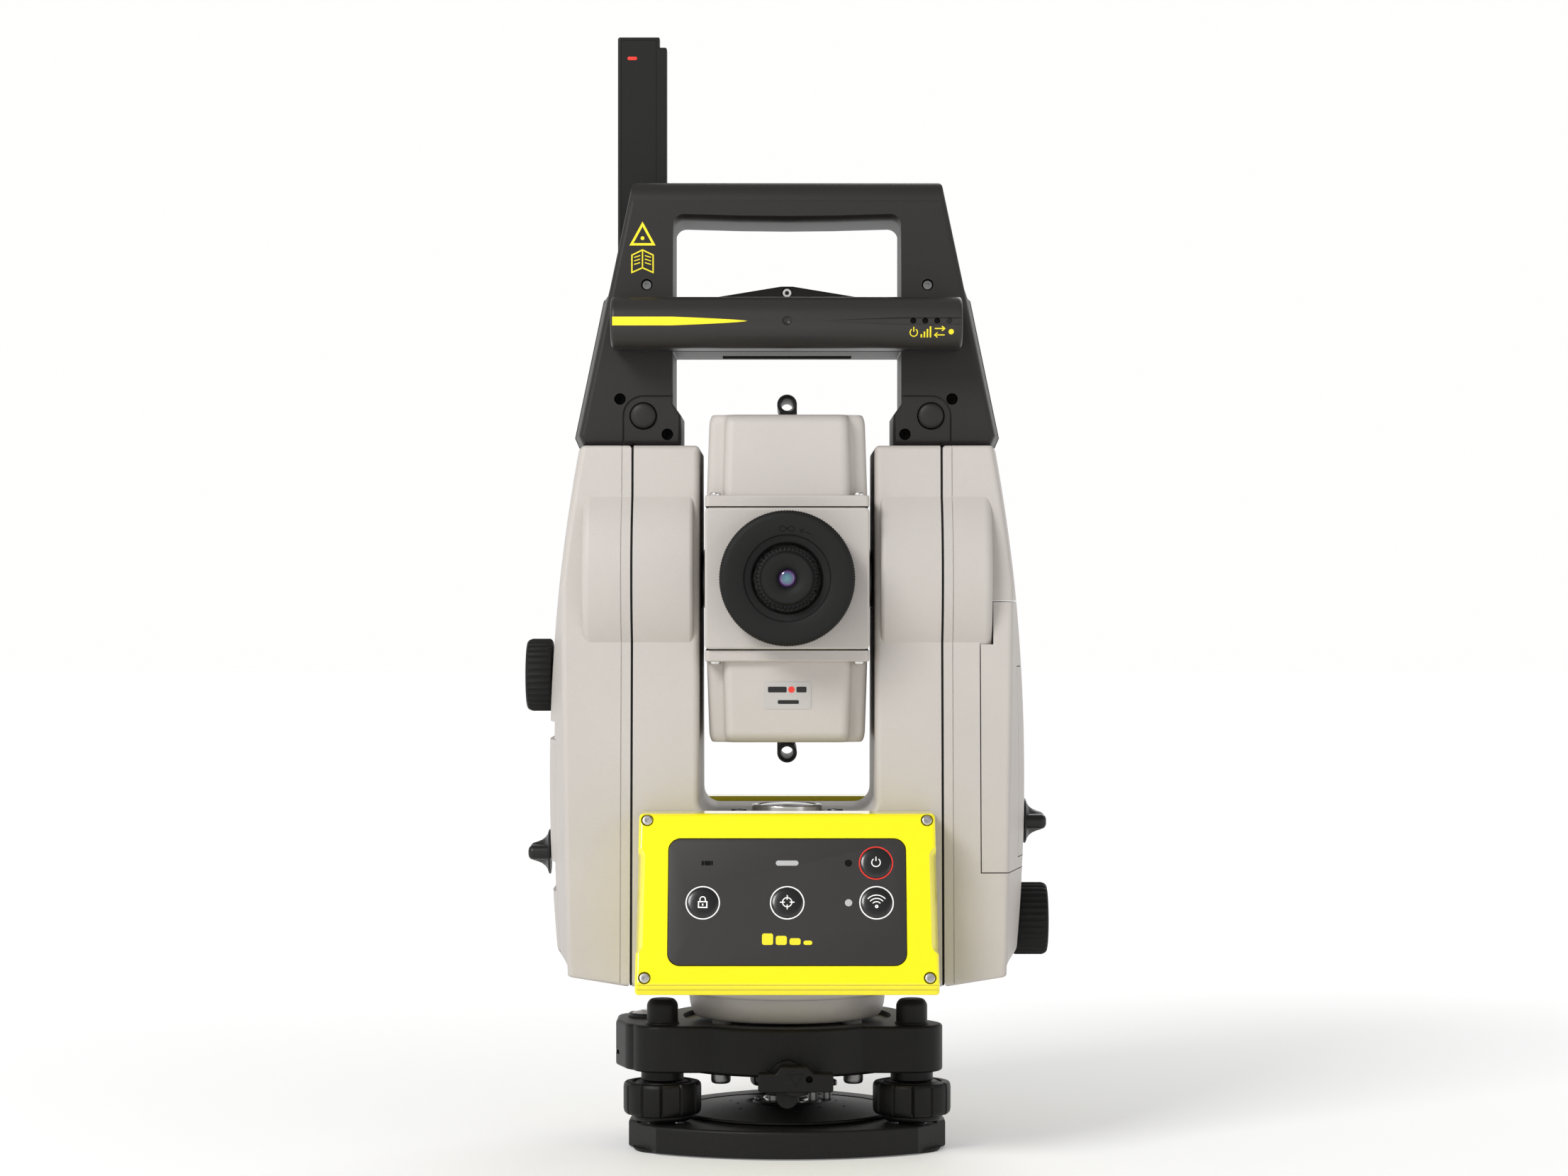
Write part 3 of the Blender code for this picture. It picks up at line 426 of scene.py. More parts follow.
LOOKS = {
    "shell": (grained("grey_pebble_paint", (0.47, 0.437, 0.407), 0.52, 1250, 0.05), "grey_paint"),
    "shell_smooth": (grained("grey_smooth_paint", (0.43, 0.405, 0.38), 0.42, 900, 0.012), "grey_paint"),
    "handle": (
        plastic("dark_handle_plastic", (0.019, 0.017, 0.0155), 0.46, 2400, 0.03, 0.25), "handle_plastic"
    ),
    "radio": (plastic("radio_plastic", (0.021, 0.0185, 0.0165), 0.38, 2600, 0.02, 0.35), "handle_plastic"),
    "black": (plastic("black_moulding", (0.0046, 0.0044, 0.0042), 0.42, 2000, 0.03, 0.2), "black_plastic"),
    # Near-black matte: the colour of small black parts and prints, and painted shade on screws deep in
    # their holes and in the telescope covers' joints.
    "black_and_shade": (plastic("black_and_recess_shade", (0.0025, 0.0025, 0.0025), 0.8, 1500, 0.02, 0.15), "black_plastic"),
    "antenna": (
        plastic("antenna_plastic", (0.007, 0.0067, 0.0063), 0.36, 2200, 0.02, 0.25), "black_plastic"
    ),
    "charcoal": (
        plastic("charcoal_cast", (0.0065, 0.0063, 0.006), 0.5, 1800, 0.04, 0.22), "charcoal_plastic"
    ),
    "panel": (plastic("key_panel_film", (0.026, 0.0243, 0.0235), 0.38, 3000, 0.008, 0.35), "key_plastic"),
    "yellow": (
        grained(
            "gloss_yellow", (0.9, 0.8, 0.0), 0.16, 500, 0.006, 0.03, 0.03, Coat_Weight=0.7,
            Coat_Roughness=0.06,
        ),
        "yellow_plastic",
    ),
    "yellow_mark": (grained("yellow_print", (0.85, 0.7, 0.01), 0.4, 2500, 0.004), "yellow_plastic"),
    "key": (
        grained("gloss_key_dome", (0.005, 0.005, 0.005), 0.26, 2500, 0.002, 0.05, 0.03, Coat_Weight=0.15),
        "key_plastic",
    ),
    "rubber": (plastic("black_rubber", (0.0068, 0.0066, 0.0063), 0.6, 1800, 0.03, 0.22), "black_rubber"),
    "anodised": (plastic("black_anodised", (0.008, 0.008, 0.0078), 0.36, 2600, 0.012, 0.35), "black_metal"),
    "steel": (brushed("bright_steel", (0.62, 0.61, 0.6), 0.24), "steel"),
    "dark_steel": (brushed("dark_steel", (0.2, 0.2, 0.2), 0.34), "steel"),
    "alloy": (brushed("turned_alloy", (0.6, 0.59, 0.57), 0.34), "alloy"),
    "white": (grained("white_print", (0.9, 0.895, 0.88), 0.4, 2500, 0.004), "key_plastic"),
    "dial": (
        grained("coated_white_dial", (0.88, 0.88, 0.87), 0.3, 1800, 0.004, Coat_Weight=0.8), "level_glass"
    ),
    "red": (grained("red_print", (0.75, 0.03, 0.015), 0.35, 2500, 0.004), "key_plastic"),
    "lamp": (grained("frosted_lamp", (0.45, 0.45, 0.45), 0.3, 1800, 0.01), "key_plastic"),
    "label": (grained("pale_label", (0.44, 0.42, 0.4), 0.36, 2500, 0.006), "grey_paint"),
    "glass": (clear("disc_glass", (0.86, 0.9, 0.9)), "optical_glass"),
    "level_glass": (clear("level_glass", (0.93, 0.95, 0.94)), "level_glass"),
    "board": (board_material("solder_mask"), "circuit_board"),
}


# Objects


def linked(name, bm):
    """A new object of this shape in the scene."""
    mesh = bpy.data.meshes.new(name)
    bm.to_mesh(mesh)
    bm.free()
    obj = bpy.data.objects.new(name, mesh)
    bpy.context.scene.collection.objects.link(obj)
    return obj


def add(name, bm, look, body, replaces=()):
    """A named piece that rides on a body and stands for some CAD nodes."""
    obj = linked(name, bm)
    finish, slot = LOOKS[look]
    obj.data.materials.append(finish)
    smoothed(obj.data)
    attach(obj, body)
    if replaces:
        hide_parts(*replaces)
    return obj


def smoothed(mesh, degrees=32):
    mesh.shade_smooth()
    mesh.set_sharp_from_angle(angle=math.radians(degrees))


def shaped(obj, *steps):
    """Applies Boolean steps, each an operation and a shape, and leaves a plain mesh."""
    helpers = []
    for operation, shape in steps:
        helper = linked("helper", shape)
        helpers.append(helper)
        modifier = obj.modifiers.new("step", "BOOLEAN")
        modifier.operation = operation
        modifier.object = helper
        modifier.solver = "EXACT"
    bpy.context.view_layer.update()
    result = bpy.data.meshes.new_from_object(obj.evaluated_get(bpy.context.evaluated_depsgraph_get()))
    obj.modifiers.clear()
    material = obj.data.materials[0]
    obj.data = result
    result.materials.clear()
    result.materials.append(material)
    smoothed(result)
    for helper in helpers:
        bpy.data.objects.remove(helper, do_unlink=True)
    return obj


def cut(obj, *shapes):
    return shaped(obj, *(("DIFFERENCE", shape) for shape in shapes))


def join(obj, *shapes):
    return shaped(obj, *(("UNION", shape) for shape in shapes))


def keep(obj, *shapes):
    return shaped(obj, *(("INTERSECT", shape) for shape in shapes))


def evened(obj):
    """Weighted normals, so that flat faces stay flat next to rounded rims."""
    modifier = obj.modifiers.new("even_shading", "WEIGHTED_NORMAL")
    modifier.keep_sharp = True
    modifier.weight = 80
    return obj


# Small fittings


def facing(spot, normal, up=(0, 0, 1)):
    """From a fitting's own axes (across, up, outwards) to its place on the object."""
    outwards = Vector(normal).normalized()
    across = Vector(up).cross(outwards).normalized()
    upwards = outwards.cross(across)
    turn = Matrix((across, upwards, outwards)).transposed().to_4x4()
    return Matrix.Translation(spot) @ turn


def star_cutter(radius, depth_low, depth_high):
    """A six-lobed driver recess."""
    corners = []
    for i in range(24):
        reach = radius * (1 - 0.14 * (1 - math.cos(math.radians(90 * i))))
        corners.append((*polar(reach, 15 * i), 0.0))
    return slab(corners, "Z", depth_low, depth_high)


def hex_cutter(radius, depth_low, depth_high):
    corners = [(*polar(radius, 60 * i), 0.0) for i in range(6)]
    return slab(corners, "Z", depth_low, depth_high)


def screw_head(name, body, look, place, radius, height, driver="star"):
    """A cap screw's head, its top rounded and its driver recess cut in."""
    profile = softened(
        [(radius * 0.98, -0.6), (radius, height * 0.5), (radius * 0.9, height), (radius * 0.3, height)],
        0.35,
    )
    head = add(name, moved(turned(profile, segments=40), place), look, body)
    make = star_cutter if driver == "star" else hex_cutter
    return cut(head, moved(make(radius * 0.48, height * 0.1, height + 1), place))


# Marks drawn as thin raised prints: each is a list of outlines, some with a hole


def stroke(points, width, closed=False):
    """A band of constant width along a path, as one or two outlines."""
    flat = [Vector(point) for point in points]
    count = len(flat)
    left, right = [], []
    for i, point in enumerate(flat):
        before = flat[i - 1] if closed or i else point
        after = flat[(i + 1) % count] if closed or i < count - 1 else point
        first = (point - before).normalized() if (point - before).length else (after - point).normalized()
        second = (after - point).normalized() if (after - point).length else first
        normal = (Vector((-first.y, first.x)) + Vector((-second.y, second.x))).normalized()
        reach = width / 2 / max(0.35, normal.dot(Vector((-first.y, first.x))))
        left.append(point + normal * reach)
        right.append(point - normal * reach)
    return left, right


def print_strip(points, width, place, thickness, closed=False):
    """A raised band along a path."""
    left, right = stroke(points, width, closed)
    bm = bmesh.new()
    rows = []
    for line, lift in ((left, 0), (left, thickness), (right, thickness), (right, 0)):
        rows.append([bm.verts.new(place(p.x, p.y, lift) * MM) for p in line])
    count = len(left)
    for k in range(4):
        row, following = rows[k], rows[(k + 1) % 4]
        for i in range(count if closed else count - 1):
            j = (i + 1) % count
            bm.faces.new((row[i], row[j], following[j], following[i]))
    if not closed:
        bm.faces.new([rows[k][0] for k in range(4)])
        bm.faces.new([rows[k][-1] for k in range(3, -1, -1)])
    bmesh.ops.recalc_face_normals(bm, faces=bm.faces)
    return bm


def print_fill(points, place, thickness):
    """A raised filled outline."""
    bm = bmesh.new()
    base = [bm.verts.new(place(u, v, 0) * MM) for u, v in points]
    top = [bm.verts.new(place(u, v, thickness) * MM) for u, v in points]
    for i in range(len(points)):
        j = (i + 1) % len(points)
        bm.faces.new((base[i], base[j], top[j], top[i]))
    bm.faces.new(base)
    bm.faces.new(top)
    bmesh.ops.recalc_face_normals(bm, faces=bm.faces)
    return bm


def circle_points(radius, at=(0, 0), start=0, end=360, count=40):
    turns = [start + (end - start) * i / count for i in range(count + (end - start < 360))]
    return [(at[0] + polar(radius, t)[0], at[1] + polar(radius, t)[1]) for t in turns]


def flat_place(matrix):
    return lambda u, v, lift: matrix @ Vector((u, v, lift))


# Tribrach


SCREWS = {side: centre("footscrew_" + side) for side in ("left", "right", "rear")}
SCREW_R = SCREWS["rear"].y
PLATE_TOP = high("base_plate").z
TRIBRACH_LOW = high("lock_lever").z - 7.1
TRIBRACH_HIGH = high("tribrach_level").z - 2.9
LEVEL = (centre("tribrach_level").x, centre("tribrach_level").y)
LEVER_Z = 33.5
STUD_ANGLES = (90, 210, 330)  # of the three studs under the instrument base, in degrees
STUD_REACH = 32


def plate_outline(steps=24):
    """Three convex edges with a flat facet across each corner."""
    reach, spread, edge_r, curve = 71.7, 9.9, 62.0, 102.0
    half = reach * math.sin(math.radians(60 - spread))
    corners = []
    for corner in (-30, 90, 210):
        corners += [(*polar(reach, corner - spread), 1.5), (*polar(reach, corner + spread), 1.5)]
        for i in range(1, steps):
            along = half * (2 * i / steps - 1)
            out = edge_r - (curve - math.sqrt(curve**2 - along**2))
            corners.append(
                (*polar(math.hypot(out, along), corner + 60 + math.degrees(math.atan2(along, out))), 0)
            )
    return corners


def make_base_plate():
    plate = add(
        "base_plate_casting", slab(plate_outline(), "Z", 0.5, PLATE_TOP, (1.0, 1.3), 3), "charcoal",
        "tribrach", ("base_plate",),
    )
    for side in SCREWS:
        x, y = SCREWS[side].x, SCREWS[side].y
        pad = turned(
            softened([(13.0, 0), (14.0, 0.9), (14.0, 1.5)], 0.4), at=(x * 0.97, y * 0.97), segments=64
        )
        add(f"foot_pad_{side}", pad, "rubber", "tribrach")
        cut(plate, turned([(6.6, 5), (6.6, 30)], at=(x, y), segments=48))
        cut(plate, turned([(10.5, PLATE_TOP - 1.0), (12.0, PLATE_TOP + 2)], at=(x, y), segments=64))
        cup = turned(
            [(6.4, 5.2), (6.4, 11.2), (5.4, 11.2), (5.4, 5.2)], at=(x, y), segments=48, hollow=True
        )
        add(f"screw_seat_{side}", cup, "dark_steel", "tribrach")
    cut(plate, turned([(8.0, -5), (8.0, 30)], segments=64))
    cut(plate, turned([(9.6, -5), (9.0, 1.6)], segments=64))
    insert = [(7.9, 0.6), (7.9, 12.0), (7.0, 12.0)]
    thread = [(7.0 + 0.45 * (i % 2), 12.0 - 0.6 * i) for i in range(1, 19)]
    add(
        "centre_thread", turned(insert + thread + [(7.2, 0.6)], segments=64, hollow=True), "alloy",
        "tribrach",
    )
    evened(plate)


def make_spring_plate():
    profile = [
        (10.6, 12.3), (45.8, 12.3), (46.5, 12.7), (46.5, 13.3), (46.0, 13.7), (45.1, 13.75), (44.7, 13.4)
    ]
    profile += [
        (44.2, 13.45), (30, 14.9), (19.0, 16.2), (16.4, 16.4), (16.0, 16.2), (14.8, 16.2), (14.2, 17.2),
        (10.6, 17.3),
    ]
    plate = add(
        "spring_plate_disc", turned(profile, segments=160, hollow=True), "charcoal", "tribrach",
        ("spring_plate",),
    )
    for i in range(12):
        angle = 30 * i + 10
        reach = 26 if i % 2 else 21.5
        x, y = polar(reach, angle)
        place = Matrix.Translation((x, y, 0)) @ Matrix.Rotation(math.radians(angle + 90), 4, "Z")
        cut(plate, moved(slab(rectangle(1.3, 0.5, 0.45), "Z", 13.6, 20), place))
    boss = softened([(10.2, 12.6), (10.2, 18.2), (9.0, 18.8), (8.1, 18.8), (8.1, 12.6)], 0.4)
    add("centre_boss", turned(boss, segments=80, hollow=True), "alloy", "tribrach")
    for i in range(3):
        x, y = polar(12.6, 60 + 120 * i)
        screw_head(f"boss_screw_{i}", "tribrach", "dark_steel", Matrix.Translation((x, y, 17.3)), 1.5, 1.0)


def tribrach_outline():
    return [(*polar(SCREW_R + 26.0, corner), 13.0) for corner in (-30, 90, 210)]


def make_tribrach_body():
    start, end = TRIBRACH_LOW, TRIBRACH_HIGH
    body = add(
        "tribrach_housing", slab(tribrach_outline(), "Z", start, end, (1.2, 1.3), 20), "black", "tribrach",
        ("tribrach_body",),
    )
    drum = [
        (52.8, start - 0.6), (53.9, start + 0.4), (54.0, start + 1.2), (54.0, end - 1.4), (53.6, end - 0.4),
        (52.7, end),
    ]
    join(body, turned(softened(drum, 0.4), segments=192))
    x, y = LEVEL
    lobe = [(-66.5, -37, 12), (-30, -40, 0), (-30, 20, 0), (-58, 14, 10), (-73.2, 8, 10), (-73.2, -16, 10)]
    join(body, slab(lobe, "Z", start + 0.2, end - 0.1, (1.2, 1.6), 12))
    for spot in SCREWS.values():
        sleeve = [(6.8, 29.6), (8.6, 29.6), (9.0, 30.2), (9.0, start + 4), (6.8, start + 4)]
        join(body, turned(sleeve, at=(spot.x, spot.y), segments=72, hollow=True))
        cap = [(7.2, end - 3), (7.2, end + 0.3), (6.6, end + 0.9), (6.6, end + 8.4)]
        cap += [(5.0, end + 10.5), (1.0, end + 10.6)]
        join(body, turned(softened(cap, 1.6, 6), at=(spot.x, spot.y), segments=72))
        cut(body, turned([(6.4, 20), (6.4, 50)], at=(spot.x, spot.y), segments=64))
    cut(body, turned([(44.6, end - 1.8), (45.6, end + 5)], segments=160))
    cut(body, turned([(22.0, start - 5), (22.0, end + 5)], segments=96))
    for angle in STUD_ANGLES:
        cut(body, turned([(4.6, 42), (4.6, end + 5)], at=polar(STUD_REACH, angle), segments=40))
    cut(body, turned([(8.6, end - 4), (8.6, end + 5)], at=LEVEL, segments=80))
    boss = [(-9, 25.6, 4), (9, 25.6, 4), (13, 36, 0), (-13, 36, 0)]
    join(body, slab(boss, "Y", -52.4, -36, (0.8, 0), 8))
    cut(body, turned([(4.4, -60), (4.4, -40)], "Y", (0, LEVER_Z), 48))
    vent = block((-90, y - 18, start + 5.2), (x - 7.5, y - 9.0, start + 7.0))
    cut(body, vent)
    evened(body)


def make_tribrach_level():
    end = TRIBRACH_HIGH
    cup = [
        (8.4, end - 3.6), (8.4, end + 0.9), (8.0, end + 1.5), (7.2, end + 1.5), (7.0, end + 0.6),
        (7.0, end - 3.6),
    ]
    ring = turned(softened(cup, 0.25), at=LEVEL, segments=80, hollow=True)
    add("level_cup", ring, "anodised", "tribrach", ("tribrach_level",))
    dome = [(6.9, end - 3.0), (6.9, end + 1.1), (5.6, end + 1.9), (3.4, end + 2.4), (1.2, end + 2.5)]
    add("level_dial", turned(dome, at=LEVEL, segments=80), "dial", "tribrach")
    place = flat_place(Matrix.Translation((*LEVEL, end + 2.42)))
    add(
        "level_mark", print_strip(circle_points(2.6), 0.35, place, 0.06, closed=True), "anodised",
        "tribrach",
    )
    for i in range(3):
        x, y = polar(11.2, 60 + 120 * i)
        spot = Matrix.Translation((LEVEL[0] + x * 0.98, LEVEL[1] + y * 0.98, end - 0.9))
        if abs(LEVEL[0] + x) < 70:
            screw_head(f"level_screw_{i}", "tribrach", "dark_steel", spot, 1.3, 0.8)


def make_footscrews():
    """Knobs with narrow grooves between broad lands, on a threaded shaft."""

    def ribbed(radius, angle):
        if radius < 15:
            return radius
        phase = (angle * 12 / (2 * math.pi)) % 1.0
        notch = max(0.0, 1 - (min(phase, 1 - phase) / 0.055) ** 2)
        return radius - 0.75 * math.sqrt(notch)

    for side, spot in SCREWS.items():
        name = "footscrew_" + side
        knob = [
            (8.0, 15.4), (13.6, 15.4), (15.4, 15.7), (16.2, 16.6), (16.5, 18.0), (16.5, 27.0), (16.3, 28.3),
            (15.7, 29.0),
        ]
        knob += [
            (14.6, 29.2), (13.2, 29.2), (12.8, 29.0), (12.6, 28.6), (11.2, 28.6), (10.9, 29.2), (6.2, 29.2)
        ]
        add(
            name + "_knob", turned(knob, at=(spot.x, spot.y), segments=288, grip=ribbed), "black", name,
            (name,),
        )
        foot = [(5.6, 5.6), (5.6, 12.2), (11.6, 12.9), (12.6, 13.8), (12.6, 15.2), (6.0, 15.2)]
        add(name + "_foot", turned(softened(foot, 0.5), at=(spot.x, spot.y), segments=80), "black", name)
        shaft = [(6.0, 29.3)] + [(6.0 - 0.4 * (i % 2), 29.3 + 0.55 * i) for i in range(1, 35)]
        add(name + "_shaft", turned(shaft, at=(spot.x, spot.y), segments=48), "dark_steel", name)


def make_lock_lever():
    bar = [(-12.1, 28.7, 1.2), (19.2, 28.7, 1.2), (19.2, 36.5, 1.0), (11.3, 36.5, 0.8)]
    bar += [(8.2, 39.5, 1.2), (-2.6, 39.5, 1.2), (-4.8, 36.5, 0.8), (-12.1, 36.5, 1.0)]
    lever = add(
        "lock_lever_handle", slab(bar, "Y", -65.5, -58.2, (1.0, 0.8)), "black", "lock_lever",
        ("lock_lever",),
    )
    join(lever, slab(arc(6.9, 180, 360, 28, (3.5, 33.5)), "Y", -64.6, -58.6, (0.8, 0.4)))
    thumb_rest = arc(4.6, 180, 360, 24, (0.0, 26.1)) + [(3.4, 31.0, 0), (-3.4, 31.0, 0)]
    join(lever, slab(thumb_rest, "Y", -62.0, -58.8, (0.7, 0.4)))
    for radius, start, end, segments in ((7.5, -59.0, -54.5, 80), (4.0, -56, -42, 40)):
        join(lever, turned([(radius, start), (radius, end)], "Y", (0, LEVER_Z), segments))
    cut(lever, turned([(1.5, -70), (1.5, -57)], "Y", (9.2, 34.2), 40))
    place = flat_place(facing((3.6, -65.5, 34.2), (0, -1, 0)) @ Matrix.Translation((0, 0, -0.25)))
    triangle = [(0.0, -2.9), (3.0, 2.2), (-3.0, 2.2)]
    cut(lever, print_strip(triangle, 0.3, place, 0.6, closed=True))
    evened(lever)
    stud = softened([(2.9, 28.6), (3.9, 29.0), (4.2, 30.2), (4.2, 34.6)], 0.5)
    for i, x in enumerate((-28.0, 28.0)):
        add(f"locking_stud_{i}", turned(stud, at=(x, -34.0), segments=64), "dark_steel", "tribrach")
    post = softened([(1.8, 19.2), (2.0, 20.0), (2.0, 35.0)], 0.3)
    for i, spot in enumerate(((-6, -24), (11, -22), (17, -18), (3, -28))):
        add(f"clamp_post_{i}", turned(post, at=spot, segments=40), "dark_steel", "tribrach")
    keeper = [(-8, -30, 3), (22, -26, 3), (19, -14, 3), (-6, -18, 3)]
    add("clamp_plate", slab(keeper, "Z", 26.4, 28.6, (0.4, 0.4)), "dark_steel", "tribrach")


def make_instrument_base():
    bowl = [
        (38.4, 54.0), (39.4, 54.2), (40.3, 55.0), (41.0, 56.4), (41.8, 59.0), (42.15, 61.6),
        (42.2, DISH_Z - GAP),
    ]
    hub = [(20.0, DISH_Z - GAP), (20.0, 94.0), (9.4, 94.0), (9.4, 54.0)]
    base = add(
        "instrument_base_bowl", turned(bowl + hub, segments=192, hollow=True), "shell_smooth", "tribrach",
        ("instrument_base",),
    )
    stud = softened([(3.6, 45), (4.2, 45.8), (4.2, 56)], 0.4)
    for angle in STUD_ANGLES:
        join(base, turned(stud, at=polar(STUD_REACH, angle), segments=48))
    evened(base)


# Standards


def half_depth(z):
    return FACE_TOP_Y + FACE_SLOPE * (TOP_Z - z)


def drum_depth(z):
    return math.sqrt(max(0.0, DRUM_R**2 - (z - TILT_Z) ** 2))


def side_reach(z):
    """Half the width at the middle of a side."""
    return WIDEST_X - 0.00065 * (z - WIDEST_Z) ** 2


def front_edge(z):
    """Half the width of the front face."""
    return min(side_reach(z) - LEAST_BULGE, EDGE_X + EDGE_LEAN * (z - EDGE_Z))


def side_section(z, inset):
    """One level of a right-hand side cover, from the seam round to the seam."""
    foot = max(0.0, min(1.0, (z - BULGE_FOOT_Z) / BULGE_RISE))
    edge = front_edge(z)
    middle = edge + (side_reach(z) - edge) * math.sqrt(1 - (1 - foot) ** 2)
    depth = half_depth(z)
    start = SEAM_X + SEAM
    corners = [
        (start, -depth, 0), (edge, -depth, 2.5), (middle, -depth * 0.32, 70),
        (middle, depth * 0.32, 70), (edge, depth, 2.5), (start, depth, 0),
    ]
    return [(p.x, p.y) for p in outline(corners, inset, 10)]


def side_shell():
    """The outer form of a right-hand side cover."""
    levels = [
        (BODY_Z + rise, edge)
        for rise, edge in ((0, 1.4), (0.15, 0.8), (0.6, 0.35), (1.4, 0.0), (2.8, 0.0))
    ]
    full = BULGE_FOOT_Z + BULGE_RISE
    levels += [(BULGE_FOOT_Z + BULGE_RISE * i / 10, 0.0) for i in range(11)]
    levels += [(full + (TOP_Z - 3 - full) * i / 30, 0.0) for i in range(1, 30)]
    levels += [
        (TOP_Z - 1.6, 0.0), (TOP_Z - 0.9, 0.15), (TOP_Z - 0.45, 0.45), (TOP_Z - 0.15, 0.9), (TOP_Z, 1.6)
    ]
    rings = []
    for z, edge in levels:
        lift = max(0.0, 1 - (z - BODY_Z) / 10)
        rings.append([(x, y, z + lift * (x - SEAM_X) * 0.16) for x, y in side_section(z, edge)])
    return skin(rings)


def drum_stretch(side, start, end, edges=(0, 0), clearance=0.0):
    """A whole disc of the trunnion drum along X, its inner part hidden in the standard."""
    corners = arc(DRUM_R + clearance, 0, 359.999, 160)[:-1]
    return on_side(slab([(y, z + TILT_Z, 0) for y, z, _ in corners], "X", start, end, edges), side)


def front_and_back(depths, heights):
    """A closed outline in Y and Z, down one face of the body and up the other."""
    return [(-d, z) for d, z in zip(depths, heights)][::-1] + [(d, z) for d, z in zip(depths, heights)]


def profile_plate(start, end, inset):
    """A slice of the body between two planes of X, with its outline drawn in."""
    bottom, top = BODY_Z + inset, TOP_Z - inset
    heights = [bottom + (top - bottom) * i / 140 for i in range(141)]
    depths = [max(half_depth(z), drum_depth(z)) - inset for z in heights]
    ring = front_and_back(depths, heights)
    return skin([[(x, y, z) for y, z in ring] for x in (start, end)])


def profile_groove(start, end, depth):
    """What cuts a narrow groove around the body between two planes of X."""
    rings = []
    heights = [BODY_Z + depth + (TOP_Z - BODY_Z - 2 * depth) * i / 140 for i in range(141)]
    for x, out in ((start, -depth), (start, 3.0), (end, 3.0), (end, -depth)):
        depths = [max(half_depth(z), drum_depth(z)) + out for z in heights]
        lifted = [
            z + (out + depth if i == 140 else -(out + depth) if i == 0 else 0)
            for i, z in enumerate(heights)
        ]
        rings.append([(x, y, z) for y, z in front_and_back(depths, lifted)])
    return skin(rings, closed=True)


def make_alidade_frame():
    beyond = SEAM_X + 5
    pillar = [(beyond, TOP_Z, 0), (GAP_X, TOP_Z, 2.2), (GAP_X, FLOOR_Z, 7)]
    corners = [(-beyond, BODY_Z, 0), (beyond, BODY_Z, 0)] + both_sides(pillar)
    rings = []
    reach = 2.8
    stations = [(1 - reach / 50 * (1 - math.sin(a)), reach * (1 - math.cos(a))) for a in quarter(7)]
    for along, inset in [(-s, i) for s, i in reversed(stations)] + stations:
        rings.append([(p.x, along, p.y) for p in outline(corners, inset)])
    frame_piece = add(
        "alidade_casting", sloped(skin(rings), half_depth), "shell", "alidade", ("alidade_frame",)
    )
    for side in (-1, 1):
        join(frame_piece, drum_stretch(side, DRUM_X[0], beyond, (2.0, 0)))
    # What the drums add beyond the seams comes off again, and the trunnion bores open
    for side in (-1, 1):
        edge = SEAM_X - SEAM
        cut(frame_piece, on_side(block((edge, -90, 40), (beyond + 20, 90, 320)), side))
        for radius, start in ((13.2, 30), (20.2, 40)):
            cut(frame_piece, around_x(side, [(radius, start), (radius, 60)], TILT_Z, 64))
    lip = [(38.6, DISH_Z), (44.8, DISH_Z), (45.8, DISH_Z + 0.9), (46.0, DISH_Z + 2.0), (46.0, BODY_Z + 2)]
    lip = softened(lip + [(38.6, BODY_Z + 2)], 0.5)
    join(frame_piece, turned(lip, segments=192, hollow=True))
    cut(frame_piece, turned([(38.0, DISH_Z - 5), (38.0, 112)], segments=96))
    cut(frame_piece, turned([(15.4, FLOOR_Z - 3.5), (15.4, FLOOR_Z + 9)], at=(0, -18), segments=96))
    evened(frame_piece)
    # A black strip fills each joint between the frame and a side cover, as painted shade in the gap.
    for side, name in ((-1, "left"), (1, "right")):
        strip = profile_plate(SEAM_X - SEAM + 0.06, SEAM_X + SEAM - 0.06, 0.7)
        add(f"seam_shade_strip_{name}", on_side(strip, side), "rubber", "alidade")


SHELL_SEAM = (69.2, 69.65, 0.35)  # two planes of X, and how deep the seam between them is
DRIVE_HOLE = [(5.6, 80), (5.6, 125)]
LOCK_HOLE = [(3.6, 80), (3.6, 125)]


